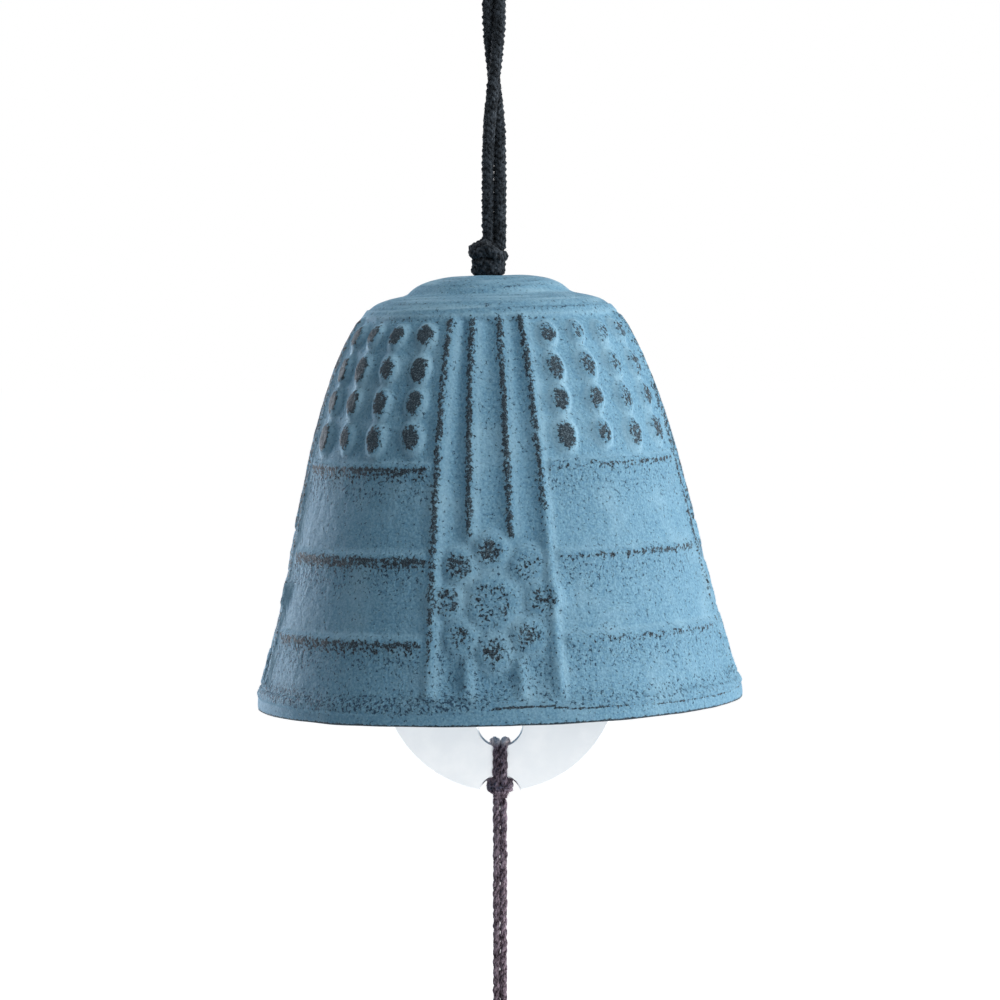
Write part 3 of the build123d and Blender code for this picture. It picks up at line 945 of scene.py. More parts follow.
@dataclass
class BellOutline:
    """The casting's section: radius and height above the rim, from the cord hole out, down and back in."""

    crown: Section = field(default_factory=lambda: [
        (2.1, 56.5), (2.4, 56.8), (4.9, 56.8), (6.8, 56.55), (8.3, 56.2), (9.5, 55.7), (10.3, 55.15),
        (10.8, 54.66), (11.4, 54.38), (12.2, 54.22), (13.5, 53.93), (15.0, 53.42), (15.9, 52.8),
    ])
    wall: Section = field(default_factory=lambda: [
        (15.9, 52.8), (16.6, 52.05), (17.98, 50.16), (19.06, 48.19), (20.04, 46.16), (20.93, 44.09),
        (21.71, 41.98), (22.50, 39.61), (23.24, 37.23), (23.93, 34.83), (24.57, 32.42), (25.16, 29.99),
        (26.55, 23.99), (28.63, 15.0), (29.22, 12.53), (29.84, 10.07), (30.48, 7.61), (31.15, 5.17),
        (31.72, 3.1),
    ])
    lip: Section = field(default_factory=lambda: [
        (31.72, 3.1), (31.86, 2.72), (32.15, 2.45), (32.36, 1.8), (32.5, 0.7), (32.5, -0.1), (32.2, -0.38),
        (30.0, -0.32), (29.3, 0.0),
    ])
    inside: Section = field(default_factory=lambda: [
        (29.3, 0.0), (28.5, 4.5), (26.1, 14.4), (22.65, 29.4), (20.1, 38.8), (18.3, 43.6), (15.6, 48.6),
        (13.4, 51.6), (11.0, 53.3), (6.0, 53.6), (2.4, 53.6), (2.1, 53.9),
    ])
    crown_step: float = 0.6
    wall_step: float = 0.44
    lip_step: float = 0.26
    inside_step: float = 3.8
    fine_step: float = 0.2
    fine_above: float = 50.6
    fine_below: float = 4.2
    smoothing: int = 12

    def points(self) -> np.ndarray:
        """The whole section, fine on the wall and coarse inside.

        Returns:
            The radius and the height of each point, in millimetres.
        """
        runs = (self.crown, self.wall, self.lip, self.inside)
        steps = (self.crown_step, self.wall_step, self.lip_step, self.inside_step)
        parts = []
        for run, step in zip(runs, steps):
            smooth = self._smooth(run)
            middle = (smooth[1:, 1] + smooth[:-1, 1]) / 2
            fine = (run is self.wall) & ((middle > self.fine_above) | (middle < self.fine_below))
            share = np.linalg.norm(np.diff(smooth, axis=0), axis=1) / np.where(fine, self.fine_step, step)
            reach = np.concatenate([[0.0], np.cumsum(share)])
            count = max(int(round(reach[-1])), 2)
            places = np.linspace(0, reach[-1], count + 1)[:-1]
            parts.append(np.stack([np.interp(places, reach, smooth[:, k]) for k in (0, 1)], axis=1))
        parts.append(np.array([self.inside[-1]]))
        return np.vstack(parts)

    def _smooth(self, run: Section) -> np.ndarray:
        """A smooth line through a run of points, by the Catmull-Rom rule.

        Args:
            run: the points.

        Returns:
            The line's points, one row each.
        """
        p = np.array([run[0], *run, run[-1]], float)
        t = np.linspace(0, 1, self.smoothing, endpoint=False)[:, None]
        out = []
        for a, b, c, d in zip(p, p[1:], p[2:], p[3:]):
            straight = 2 * b + (c - a) * t
            bent = (2 * a - 5 * b + 4 * c - d) * t**2
            twisted = (3 * b - a - 3 * c + d) * t**3
            out.append(0.5 * (straight + bent + twisted))
        return np.vstack([*out, p[-1:]])

    def radius(self, height: np.ndarray) -> np.ndarray:
        """The wall's outer radius at heights above the rim, in millimetres."""
        line = self._smooth(self.wall)[::-1]
        return np.interp(height, line[:, 1], line[:, 0])

    def reach(self, height: float | np.ndarray) -> float | np.ndarray:
        """The distance along the wall from its foot up to a height, in millimetres."""
        line = self._smooth(self.wall)[::-1]
        return np.interp(height, line[:, 1], distances(line))


@dataclass(frozen=True)
class WallPlaces:
    """Where the points of the wall lie, one value a point, in degrees and millimetres.

    The band's turn is counted from the middle of the nearest band, the front's from the side that faces the
    viewer, and the reach up along the wall.
    """

    band: np.ndarray
    front: np.ndarray
    height: np.ndarray
    radius: np.ndarray
    reach: np.ndarray
    outline: BellOutline

    def above(self, level: float) -> np.ndarray:
        """How far each point lies above a height, along the wall."""
        return self.reach - self.outline.reach(level)

    def beside(self, turn: float | np.ndarray) -> np.ndarray:
        """How far each point lies beside a turn from the band's middle, around the wall."""
        return self.radius * np.radians(self.band - turn)


@dataclass
class Dressing:
    """What the wall carries at each point: its relief in millimetres, its wear and its dirt, both with some
    painted shade, and its pale paint, with painted highlights.
    """

    floor: np.ndarray
    proud: np.ndarray
    wear: np.ndarray
    grime_and_shade: np.ndarray
    pale: np.ndarray

    def add(self, proud: Layer = None, wear: Layer = None, grime_and_shade: Layer = None, pale: Layer = None) -> None:
        """Keep the greater of what is there and what is given.

        Args:
            proud: relief in millimetres above the floor.
            wear: how far the paint is rubbed off, with painted shade under some edges.
            grime_and_shade: how much dirt the paint has, with painted shade in hollows, under ridges and on the
                side away from the light.
            pale: how much paler the paint is, with painted highlights on edges and lit flanks.
        """
        for name, value in (("proud", proud), ("wear", wear), ("grime_and_shade", grime_and_shade), ("pale", pale)):
            if value is not None:
                setattr(self, name, np.maximum(getattr(self, name), value))


@dataclass(frozen=True)
class Weathering:
    """How unevenly the bell has aged: less worn towards its right, as in the photograph, and with fewer dark
    pits there, which paints shade on the left, away from the light.

    Turns are degrees from the side that faces the viewer. A share says how much of the wear, or of the dirt and
    painted shade, is missing.
    """

    ribs_from: Span = (8, 12)
    ribs_to: Span = (20, 26)
    ribs_below: Span = (22, 31)
    ribs_share: float = 0.5
    shoulder: Span = (54, 18)
    shoulder_above: Span = (38, 46)
    shoulder_share: float = 0.26
    left_wear: float = 1.07
    side: Span = (0, 40)
    side_share: float = 0.19
    bosses_from: Span = (16, 22)
    bosses_to: Span = (80, 90)
    bosses_above: Span = (34, 36)
    bosses_share: float = 0.08
    lit_side: Span = (12, 30)
    lit_side_share: float = 0.45

    def spare_ribs(self, wall: Dressing, at: WallPlaces) -> None:
        """Wear the lower ends of the ribs less, right of the middle.

        Args:
            wall: what the wall carries so far.
            at: where the points lie.
        """
        low = 1 - smooth_step(at.height, *self.ribs_below)
        wall.wear *= 1 - self.ribs_share * (plateau(at.front, self.ribs_from, self.ribs_to) * low)

    def age(self, wall: Dressing, at: WallPlaces) -> None:
        """Wear the right less, most of all its shoulder and its bosses, and give it fewer dark pits, so that
        painted shade darkens the left, away from the light.

        Args:
            wall: what the wall carries so far.
            at: where the points lie.
        """
        high = smooth_step(at.height, *self.shoulder_above)
        wall.wear *= 1 - self.shoulder_share * hump(at.front, *self.shoulder) * high
        wall.wear *= self.left_wear - self.side_share * smooth_step(at.front, *self.side)
        right = plateau(at.front, self.bosses_from, self.bosses_to)
        wall.wear *= 1 - self.bosses_share * (right * smooth_step(at.height, *self.bosses_above))
        # Fewer dark pits towards the right: painted shade keeps the left darker, away from the light.
        wall.grime_and_shade *= 1 - self.lit_side_share * smooth_step(at.front, *self.lit_side)


@dataclass(frozen=True)
class Rib:
    """One rib of a band: its turns at the three rib levels, its two ends and how far it stands out."""

    turns: tuple[float, float, float]
    foot: float
    top: float
    crown: float
    darkness: float = 1.0
    foot_run: Span = (-0.9, 0.9)
    top_run: Span = (-1.4, 0.2)

    def ends(self, height: np.ndarray) -> np.ndarray:
        """How much of the rib is there at heights above the rim: all of it between its two soft ends.

        Args:
            height: the heights, in millimetres.

        Returns:
            The share, from 0 to 1.
        """
        rise = (self.foot + self.foot_run[0], self.foot + self.foot_run[1])
        return plateau(height, rise, (self.top + self.top_run[0], self.top + self.top_run[1]))


@dataclass(frozen=True)
class LotusDome:
    """One dome of the lotus seat: its middle across and up from the seat's, its size and how worn it is."""

    across: float
    up: float
    size: float
    tall: float
    wear: float
    ringed: bool


@dataclass
class TempleRelief:
    """The pattern cast on the wall: bands with ribs and a lotus seat, with bosses and ridges between them."""

    bands: int = 4
    band_turn: float = -91.25
    band_depth: float = 0.8
    band_edge: Span = (-0.4, 1.8)
    band_dirt_and_shade: float = 0.7
    band_dirt_and_shade_edge: Span = (0.0, 1.5)
    band_dirt_and_shade_below: Span = (10.0, 16.0)
    band_foot: Span = (2.6, 5.0)
    band_top: Span = (50.9, 51.7)
    outer_turns: tuple[float, float, float] = (15.4, 15.6, 14.7)
    inner_turns: tuple[float, float, float] = (6.5, 5.75, 5.75)
    rib_levels: tuple[float, float, float] = (4.0, 26.0, 50.0)
    rib_width: float = 1.05
    rib_bluntness: float = 1.35
    rib_rubbed: tuple[float, float, float] = (-0.12, 0.64, 2.2)
    rib_highlight: float = 0.5
    rib_highlight_line: Span = (0.95, 0.4)
    rib_worn_levels: tuple[float, ...] = (3.0, 9.0, 22.0, 50.0)
    rib_wear: tuple[float, ...] = (0.34, 0.50, 0.66, 0.66)
    rib_foot: float = 2.4
    rib_top: float = 52.2
    outer_height: float = 0.62
    inner_height: float = 0.36
    inner_foot: float = 23.2
    low_top: float = 8.9
    low_height: float = 0.42
    panel_edge: Span = (1.2, 3.6)
    ridge_levels: tuple[float, float, float] = (32.5, 21.0, 10.4)
    ridge_wear_and_shade: tuple[float, float, float] = (0.62, 0.68, 0.60)
    ridge_height: float = 0.5
    ridge_slopes: Span = (0.5, 1.3)
    ridge_wear_and_shade_middle: float = -0.35
    ridge_wear_and_shade_trails: Span = (0.42, 1.8)
    ridge_dirt_and_shade_line: Span = (-2.2, 2.8)
    ridge_highlight: float = 0.55
    ridge_highlight_line: Span = (0.62, 0.3)
    boss_levels: tuple[float, float, float, float] = (49.0, 44.75, 40.5, 36.0)
    boss_turns: tuple[float, float, float, float] = (24.7, 38.2, -24.7, -38.2)
    boss_half: Span = (1.3, 1.9)
    boss_height: float = 0.75
    top_boss_above: float = 48.0
    column_height: float = 0.34
    column_levels: Span = (36.0, 49.0)
    column_half: Span = (1.25, 0.95)
    column_foot: Span = (33.3, 34.8)
    column_top: Span = (50.0, 51.2)
    lotus_level: float = 15.35
    lotus_ring: float = 6.5
    lotus_heart: LotusDome = LotusDome(0.0, -0.3, 3.5, 0.92, 0.52, ringed=True)
    petal_size: float = 2.25
    petal_height: float = 0.98
    petal_wear: tuple[float, ...] = (0.62, 0.40, 0.50, 0.52, 0.54, 0.46, 0.68, 0.58)
    collar_height: float = 0.16
    collar_rise: Span = (51.2, 51.6)
    plain_grime: float = 0.15
    weathering: Weathering = Weathering()
    lip: tuple[Span, ...] = (
        (-180, 1.6), (-120, 1.4), (-60, 1.2), (-40, 0.9), (-20, 1.0), (-4, 1.4), (-2.2, 1.86), (3, 2.0),
        (8.5, 2.1), (12, 1.97), (16, 1.65), (24, 1.5), (57, 1.2), (90, 1.5), (135, 1.9), (180, 1.6),
    )

    def carve(self, angle: np.ndarray, height: np.ndarray, outline: BellOutline) -> Dressing:
        """The relief at places on the wall.

        Args:
            angle: degrees about the bell's axis.
            height: height above the rim.
            outline: the bell's section.

        Returns:
            What the wall carries at each place.
        """
        pitch = 360 / self.bands
        band = (angle - self.band_turn + pitch / 2) % pitch - pitch / 2
        at = WallPlaces(
            band=band, front=from_front(angle), height=height, radius=outline.radius(height),
            reach=outline.reach(height), outline=outline,
        )
        none = np.zeros_like(angle)
        wall = Dressing(none.copy(), none.copy(), none.copy(), none + self.plain_grime, none.copy())
        self._bands(wall, at)
        self._ridges(wall, at)
        self._bosses(wall, at)
        self._lotus(wall, at)
        self._collar(wall, at)
        self.weathering.age(wall, at)
        return wall

    def lip_line(self, angle: np.ndarray) -> np.ndarray:
        """The height at which the rough wall ends above the smooth lip, all round."""
        turns, heights = zip(*self.lip)
        return np.interp(from_front(angle), turns, heights)

    def _bands(self, wall: Dressing, at: WallPlaces) -> None:
        """Sink the fluted bands and stand their ribs in them, with more dark pits low in the sunk band from
        dirt and painted shade, and a painted highlight on each rib's right flank.

        Args:
            wall: what the wall carries so far.
            at: where the points lie.
        """
        inside = np.interp(at.height, self.rib_levels, self.outer_turns) - np.abs(at.band)
        whole = plateau(at.height, self.band_foot, self.band_top)
        sunk = -self.band_depth * smooth_step(inside, *self.band_edge) * whole
        wall.floor += sunk
        # More dark pits low in the sunk band: dirt, and painted shade in the hollow.
        low = 1 - smooth_step(at.height, *self.band_dirt_and_shade_below)
        wall.add(grime_and_shade=self.band_dirt_and_shade * smooth_step(inside, *self.band_dirt_and_shade_edge) * low)
        for rib in (
            Rib(self.outer_turns, self.rib_foot, self.rib_top, self.outer_height),
            Rib(self.inner_turns, self.inner_foot, self.rib_top, self.inner_height),
            Rib(self.inner_turns, self.rib_foot, self.low_top, self.low_height, darkness=0.7),
        ):
            turn = np.interp(at.height, self.rib_levels, rib.turns)
            across = at.radius * np.radians(np.abs(at.band) - turn)
            ends = rib.ends(at.height)
            wall.add(proud=(rib.crown - sunk) * hump(across, 0, self.rib_width, self.rib_bluntness) * ends)
            dark = np.interp(at.height, self.rib_worn_levels, self.rib_wear) * rib.darkness
            # A painted highlight on each rib's right flank, the side that faces the light.
            sided = across * np.sign(at.band)
            wall.add(
                wear=hump(sided, *self.rib_rubbed) * ends * dark,
                pale=self.rib_highlight * hump(sided, *self.rib_highlight_line) * ends,
            )
        self.weathering.spare_ribs(wall, at)

    def _ridges(self, wall: Dressing, at: WallPlaces) -> None:
        """Run the three ridges across the panels, each with wear and painted shade on its lower edge, more dark
        pits below it from dirt and painted shade, and a painted highlight along its top.

        Args:
            wall: what the wall carries so far.
            at: where the points lie.
        """
        outside = np.abs(at.band) - np.interp(at.height, self.rib_levels, self.outer_turns)
        panel = smooth_step(outside, *self.panel_edge)
        soft = 1 - 0.3 * hump(at.front, 21, 8)
        right = smooth_step(at.front, 8, 16)
        short, long = self.ridge_wear_and_shade_trails
        for level, dark in zip(self.ridge_levels, self.ridge_wear_and_shade):
            off = at.above(level)
            slope = np.where(off > 0, *self.ridge_slopes)
            trail = np.where(off > self.ridge_wear_and_shade_middle, short, long - 0.9 * right)
            # Under each ridge a dark band of wear and painted shade, longer on the left away from the light;
            # above it a painted highlight.
            wall.add(
                proud=panel * self.ridge_height * hump(off, 0, slope),
                wear=panel * soft * dark * hump(off, self.ridge_wear_and_shade_middle, trail),
                grime_and_shade=panel * hump(off, *self.ridge_dirt_and_shade_line),
                pale=panel * self.ridge_highlight * hump(off, *self.ridge_highlight_line),
            )

    def _bosses(self, wall: Dressing, at: WallPlaces) -> None:
        """Add the columns of oval bosses, no two of them quite alike, each ringed at its foot with a painted
        highlight.

        Args:
            wall: what the wall carries so far.
            at: where the points lie.
        """
        rng = np.random.default_rng(7)
        for turn in self.boss_turns:
            across = at.beside(turn)
            slim = np.interp(at.height, self.column_levels, self.column_half)
            column = hump(across, 0, slim) * plateau(at.height, self.column_foot, self.column_top)
            wall.add(proud=self.column_height * column)
            for level in self.boss_levels:
                top = level > self.top_boss_above
                along = at.above(level) + rng.uniform(-0.2, 0.2)
                wide = self.boss_half[0] * rng.uniform(0.92, 1.08) * (0.9 if top else 1.0)
                tall = self.boss_half[1] * rng.uniform(0.92, 1.08) * (0.8 if top else 1.0)
                lean = rng.uniform(-0.25, 0.25)
                off = ((across + lean * along * 0.5) / wide) ** 2 + (along / tall) ** 2
                # The pale ring round each boss is a painted highlight.
                wall.add(
                    proud=self.boss_height * dome(off, 1.9),
                    wear=rng.uniform(0.80, 1.0) - 0.62 * off**1.5,
                    pale=0.8 * hump(np.sqrt(off), 1.18, 0.22),
                )

    def _lotus(self, wall: Dressing, at: WallPlaces) -> None:
        """Add the lotus seat: a ring of domes about a broad one, each rubbed in patches on its top and ringed
        at its edge with a painted highlight.

        Args:
            wall: what the wall carries so far.
            at: where the points lie.
        """
        across = at.beside(0.0)
        along = at.above(self.lotus_level)
        domes = [self.lotus_heart]
        for k, wear in enumerate(self.petal_wear):
            turn = 2 * math.pi * k / len(self.petal_wear)
            x, y = self.lotus_ring * math.sin(turn), self.lotus_ring * math.cos(turn)
            domes.append(LotusDome(x, y, self.petal_size, self.petal_height, wear, ringed=wear > 0.62))
        for one in domes:
            beside = across - one.across + 0.09 * min(one.across, 0)
            off = np.sqrt(beside**2 + (along - one.up) ** 2) / one.size
            # The pale ring at each dome's edge is a painted highlight.
            wall.add(
                proud=one.tall * dome(off, 3.2),
                wear=one.wear * hump(off, 0, 0.88, 4) * (1 - 0.5 * one.ringed * hump(off, 0, 0.45)),
                grime_and_shade=0.8 * hump(off, 0, 1, 4),
                pale=0.45 * hump(off, 1.15, 0.2),
            )

    def _collar(self, wall: Dressing, at: WallPlaces) -> None:
        """Add the low step round the shoulder, with a line of painted shade below its edge and a painted
        highlight on it.

        Args:
            wall: what the wall carries so far.
            at: where the points lie.
        """
        wall.add(
            proud=self.collar_height * smooth_step(at.height, *self.collar_rise),
            # Painted shade: a dark line under the step's edge.
            wear=0.34 * hump(at.height, self.collar_rise[0] - 0.1, 0.3),
            # Painted highlight: a pale line along the step's top.
            pale=0.6 * hump(at.height, self.collar_rise[1] + 0.1, 0.3),
        )


@dataclass
class CastBell:
    """The iron bell: one casting, spun from its section and carved with its relief."""

    outline: BellOutline = field(default_factory=BellOutline)
    relief: TempleRelief = field(default_factory=TempleRelief)
    spin_steps: int = 480
    weld: float = 0.02
    rim_drop: float = 118.0
    rim_side: float = 0.8
    lean: float = -1.6
    wall_heights: Span = (0.6, 52.6)
    lip_radius: float = 31.0
    throat_radius: float = 3.0
    crown_foot: float = 52.3
    crown_hole: float = 2.6
    seam_turns: tuple[float, ...] = (-3.6, -1.4, 16, 23, 60)
    seam_wear: tuple[float, ...] = (0.25, 1.0, 1.0, 0.70, 0.62)
    finish: WornPaint = WornPaint()

    def build(self) -> None:
        """Build the casting, dress it and hand it over."""
        bell = self._spin()
        self._carve(bell)
        bell.location = (self.rim_side * MM, 0, -self.rim_drop * MM)
        bell.rotation_euler = (0, math.radians(self.lean), 0)
        settle(bell)
        bell.data.materials.append(self.finish.material())
        select_only(bell)
        bpy.ops.object.shade_smooth()
        hand_over(bell, Body.BELL, ("bell",))

    def _spin(self) -> bpy.types.Object:
        """Draw the section and spin it about the bell's axis.

        Returns:
            The plain casting, upright on its rim at the origin.
        """
        points = self.outline.points() * MM
        curve = bpy.data.curves.new("bell_casting", "CURVE")
        curve.dimensions = "3D"
        spline = curve.splines.new("POLY")
        spline.points.add(len(points) - 1)
        for place, (radius, height) in zip(spline.points, points):
            place.co = (radius, 0.0, height, 1.0)
        spline.use_cyclic_u = True
        bell = to_mesh("bell_casting", curve)
        bpy.ops.object.mode_set(mode="EDIT")
        bpy.ops.mesh.select_all(action="SELECT")
        bpy.ops.mesh.spin(steps=self.spin_steps, angle=2 * math.pi, center=(0, 0, 0), axis=(0, 0, 1))
        bpy.ops.mesh.select_all(action="SELECT")
        bpy.ops.mesh.remove_doubles(threshold=self.weld * MM)
        bpy.ops.mesh.normals_make_consistent(inside=False)
        bpy.ops.object.mode_set(mode="OBJECT")
        return bell

    def _carve(self, bell: bpy.types.Object) -> None:
        """Raise the relief on the outer wall and note its wear, its dirt with painted shade, and its pale paint
        with painted highlights.

        Args:
            bell: the plain casting.
        """
        mesh = bell.data
        place = read_vectors(mesh, "co") / MM
        normal = read_vectors(mesh, "normal")
        radius = np.hypot(place[:, 0], place[:, 1])
        height = place[:, 2]
        angle = np.degrees(np.arctan2(place[:, 1], place[:, 0]))
        low, high = self.wall_heights
        outer = (height > low) & (height < high) & (radius > self.outline.radius(height) - 1.0)
        wall = self.relief.carve(angle, height, self.outline)
        above = height - self.relief.lip_line(angle)
        fade = smooth_step(above, 0.0, 0.3) * outer
        waves, lumps = np.array([self._cast(point) for point in place]).T
        relief = (wall.floor + wall.proud) * fade * smooth_step(height, 2.4, 3.4)
        swell = 0.16 * fade * (height < 6.0) * hump(above, 0, 1.6)
        cast = waves * (radius > self.throat_radius) + lumps * fade * (1 + 1.1 * wall.grime_and_shade)
        carved = place + normal * (relief + swell + cast)[:, None]
        mesh.vertices.foreach_set("co", (carved * MM).ravel())
        front = from_front(angle)
        lip = self._lip_wear(front, above, carved[:, 2]) * (radius > self.lip_radius)
        foot = hump(above, 1.4, 1.6) * fade * (1.6 - 0.7 * smooth_step(front, -6, 2))
        crown = (carved[:, 2] > self.crown_foot) & (radius > self.crown_hole) & (normal[:, 2] > 0)
        swept = np.array([self._sweep(*at) if on else 0.0 for on, *at in zip(crown, angle, radius)])
        worn = np.maximum(wall.wear * fade, lip)
        dirt_and_shade = np.maximum(np.maximum(wall.grime_and_shade * fade, foot), -swept)
        # The dirt carries painted shade and the pale paint painted highlights.
        store_values(mesh, "wear", np.clip(worn, 0, 1))
        store_values(mesh, "grime_and_shade", np.clip(dirt_and_shade, 0, 1.6))
        store_values(mesh, "pale", np.clip(np.maximum(wall.pale * fade, swept), 0, 1))
        mesh.update()

    def _lip_wear(self, front: np.ndarray, above: np.ndarray, height: np.ndarray) -> np.ndarray:
        """How worn the lip is: bare along the seam over it and along the rim's lower edge.

        Args:
            front: degrees from the side that faces the viewer.
            above: how far each point is above the seam.
            height: its height above the rim, as carved.

        Returns:
            The wear, from 0 to 1.
        """
        seam = np.interp(front, self.seam_turns, self.seam_wear) * hump(above, -0.02, 0.17)
        return np.maximum(hump(height, -0.28, 0.22), seam)

    @staticmethod
    def _cast(place: np.ndarray) -> tuple[float, float]:
        """The unevenness of a sand casting at one point.

        Args:
            place: the point, in millimetres.

        Returns:
            Its broad waves and its finer lumps, in millimetres.
        """
        where = Vector(place)
        broad = noise.noise(where * 0.11) * 0.10 + noise.noise(where * 0.3) * 0.05
        fine = noise.noise(where * 0.9) * 0.05 + noise.noise(where * 2.1) * 0.035
        return broad, fine

    @staticmethod
    def _sweep(angle: float, radius: float) -> float:
        """Streaks around the crown where the paint was brushed on.

        Args:
            angle: degrees about the bell's axis.
            radius: the distance from the axis.

        Returns:
            Above 0 how pale the paint is, and below 0 how much dirt it has.
        """
        turn = math.radians(angle)
        where = Vector((math.cos(turn) * 1.3, math.sin(turn) * 1.3, radius * 1.7))
        return 1.8 * noise.noise(where) + 0.6 * noise.noise(where * 2.1)


@dataclass
class Clapper:
    """What hangs inside the bell: the brown string over the eye, its hitches and the thin metal disc."""

    diameter: float = 0.95
    pitch: float = 3.9
    plate_centre: Point = (0.8, 0.0, -114.6)
    bight: Route = field(default_factory=lambda: [
        (0.34, -1.0, -97.85), (0.34, -1.0, -93.5), (0.8, -1.35, -79.5), (0.8, -1.35, -75.0),
        (0.8, -1.35, -72.32), (0.8, 1.35, -72.32), (0.8, 1.35, -75.0), (0.8, 1.35, -79.5),
        (1.26, -1.0, -93.5), (1.26, -1.0, -97.85),
    ])
    bight_fuzz_length: float = 0.35
    hitch_half: Route = field(default_factory=lambda: [
        (0.46, -1.0, 16.75), (0.46, -1.0, 11.3), (0.42, -1.0, 9.1), (0.9, 1.0, 9.05), (1.15, 1.0, 11.2),
        (1.3, 1.0, 14.9), (1.3, -1.9, 15.75),
    ])
    hitch_swell: float = 1.2
    hitch_fuzz: int = 420
    hitch_fuzz_length: float = 0.6
    highlight_within: float = 9.75
    highlight_edge: float = 0.6
    string_finish: CottonCord = CottonCord("brown_cotton", colour(40, 27, 35), colour(192, 172, 186), 5200.0)
    plate_finish: RolledAluminium = RolledAluminium()

    def build(self, packed: dict[str, bpy.types.Object]) -> bpy.types.Material:
        """Build the strings, dress the disc and hand them over.

        Args:
            packed: the frame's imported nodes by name.

        Returns:
            The brown cotton, for the string below the disc.
        """
        cotton = self.string_finish.material()
        line = smooth_line(self.bight)
        cord = PliedCord("clapper_string_cord", self.diameter, self.pitch, fuzz_length=self.bight_fuzz_length)
        piece = cord.build([line], cotton)
        hand_over(piece, Body.CLAPPER, ("clapper_string",))
        for name, side in (("upper_hitch", 1), ("lower_hitch", -1)):
            self._hitch(name, side, cotton)
        plate = packed["clapper_plate"]
        plate.data.materials.clear()
        plate.data.materials.append(self.plate_finish.material())
        log.info("clapper_plate: keeps its packed mesh, in rolled aluminium")
        return cotton

    def _hitch(self, name: str, side: int, cotton: bpy.types.Material) -> None:
        """Build the lark's head hitch on one of the disc's webs.

        Args:
            name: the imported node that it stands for.
            side: 1 for the upper web and -1 for the lower one.
            cotton: the string's material.
        """
        middle, _, level = self.plate_centre
        half = self.hitch_half
        route = half + [(-x, y, z) for x, y, z in reversed(half)]
        line = smooth_line([(middle + x, y, level + side * z) for x, y, z in route])
        cord = PliedCord(
            f"{name}_string", self.diameter * self.hitch_swell, self.pitch, fuzz=self.hitch_fuzz,
            fuzz_length=self.hitch_fuzz_length,
        )
        piece = cord.build([line], cotton)
        self._paint_bend_highlight(piece)
        hand_over(piece, Body.CLAPPER, (name,))

    def _paint_bend_highlight(self, piece: bpy.types.Object) -> None:
        """Note where a hitch's string bends over the web, for a painted highlight there.

        Args:
            piece: the hitch.
        """
        off = np.abs(read_vectors(piece.data, "co")[:, 2] / MM - self.plate_centre[2])
        # Painted highlight share: 1 over the web, fading out past it.
        store_values(piece.data, "bend", np.clip((self.highlight_within - off) / self.highlight_edge, 0, 1))


@dataclass
class TailString:
    """The doubled brown string under the disc, and the knot and loop that the paper strip hangs on."""

    diameter: float = 0.95
    pitch: float = 3.9
    left: Route = field(default_factory=lambda: [(0.34, -1.0, -131.5), (0.34, -1.0, -162.25)])
    right: Route = field(default_factory=lambda: [(1.26, -1.0, -131.5), (1.26, -1.0, -162.25)])
    swell: float = 1.1
    start_turns: Span = (0.4, 2.0)
    fuzz: int = 160
    fuzz_length: float = 0.35
    knot: Knot = Knot("strip_knot", (0.8, -1.0, -164.0), 1.6, Body.STRIP_TIE, braided=False, fuzz=0)
    loop: Route = field(default_factory=lambda: [
        (0.8, -1.95, -165.4), (0.8, -1.95, -169.1), (0.8, -1.95, -171.0), (0.8, -0.05, -171.0),
        (0.8, -0.05, -169.1), (0.8, -0.05, -165.4),
    ])
    loop_fuzz: int = 16

    def build(self, cotton: bpy.types.Material) -> None:
        """Build the strings, the knot and its loop, and hand them over.

        Args:
            cotton: the brown cotton.
        """
        for side, route, turn in zip(("left", "right"), (self.left, self.right), self.start_turns):
            line = smooth_line(route)
            name = f"tail_string_{side}"
            cord = PliedCord(
                f"{name}_cord", self.diameter * self.swell, self.pitch, turn, fuzz=self.fuzz,
                fuzz_length=self.fuzz_length,
            )
            piece = cord.build([line], cotton)
            hand_over(piece, Body.TAIL, (name,))
        self.knot.build(self.diameter, "brown_string", cotton)
        cord = PliedCord("strip_loop_string", self.diameter, self.pitch, fuzz=self.loop_fuzz)
        piece = cord.build([smooth_line(self.loop)], cotton)
        hand_over(piece, Body.STRIP_TIE, ("strip_loop",))


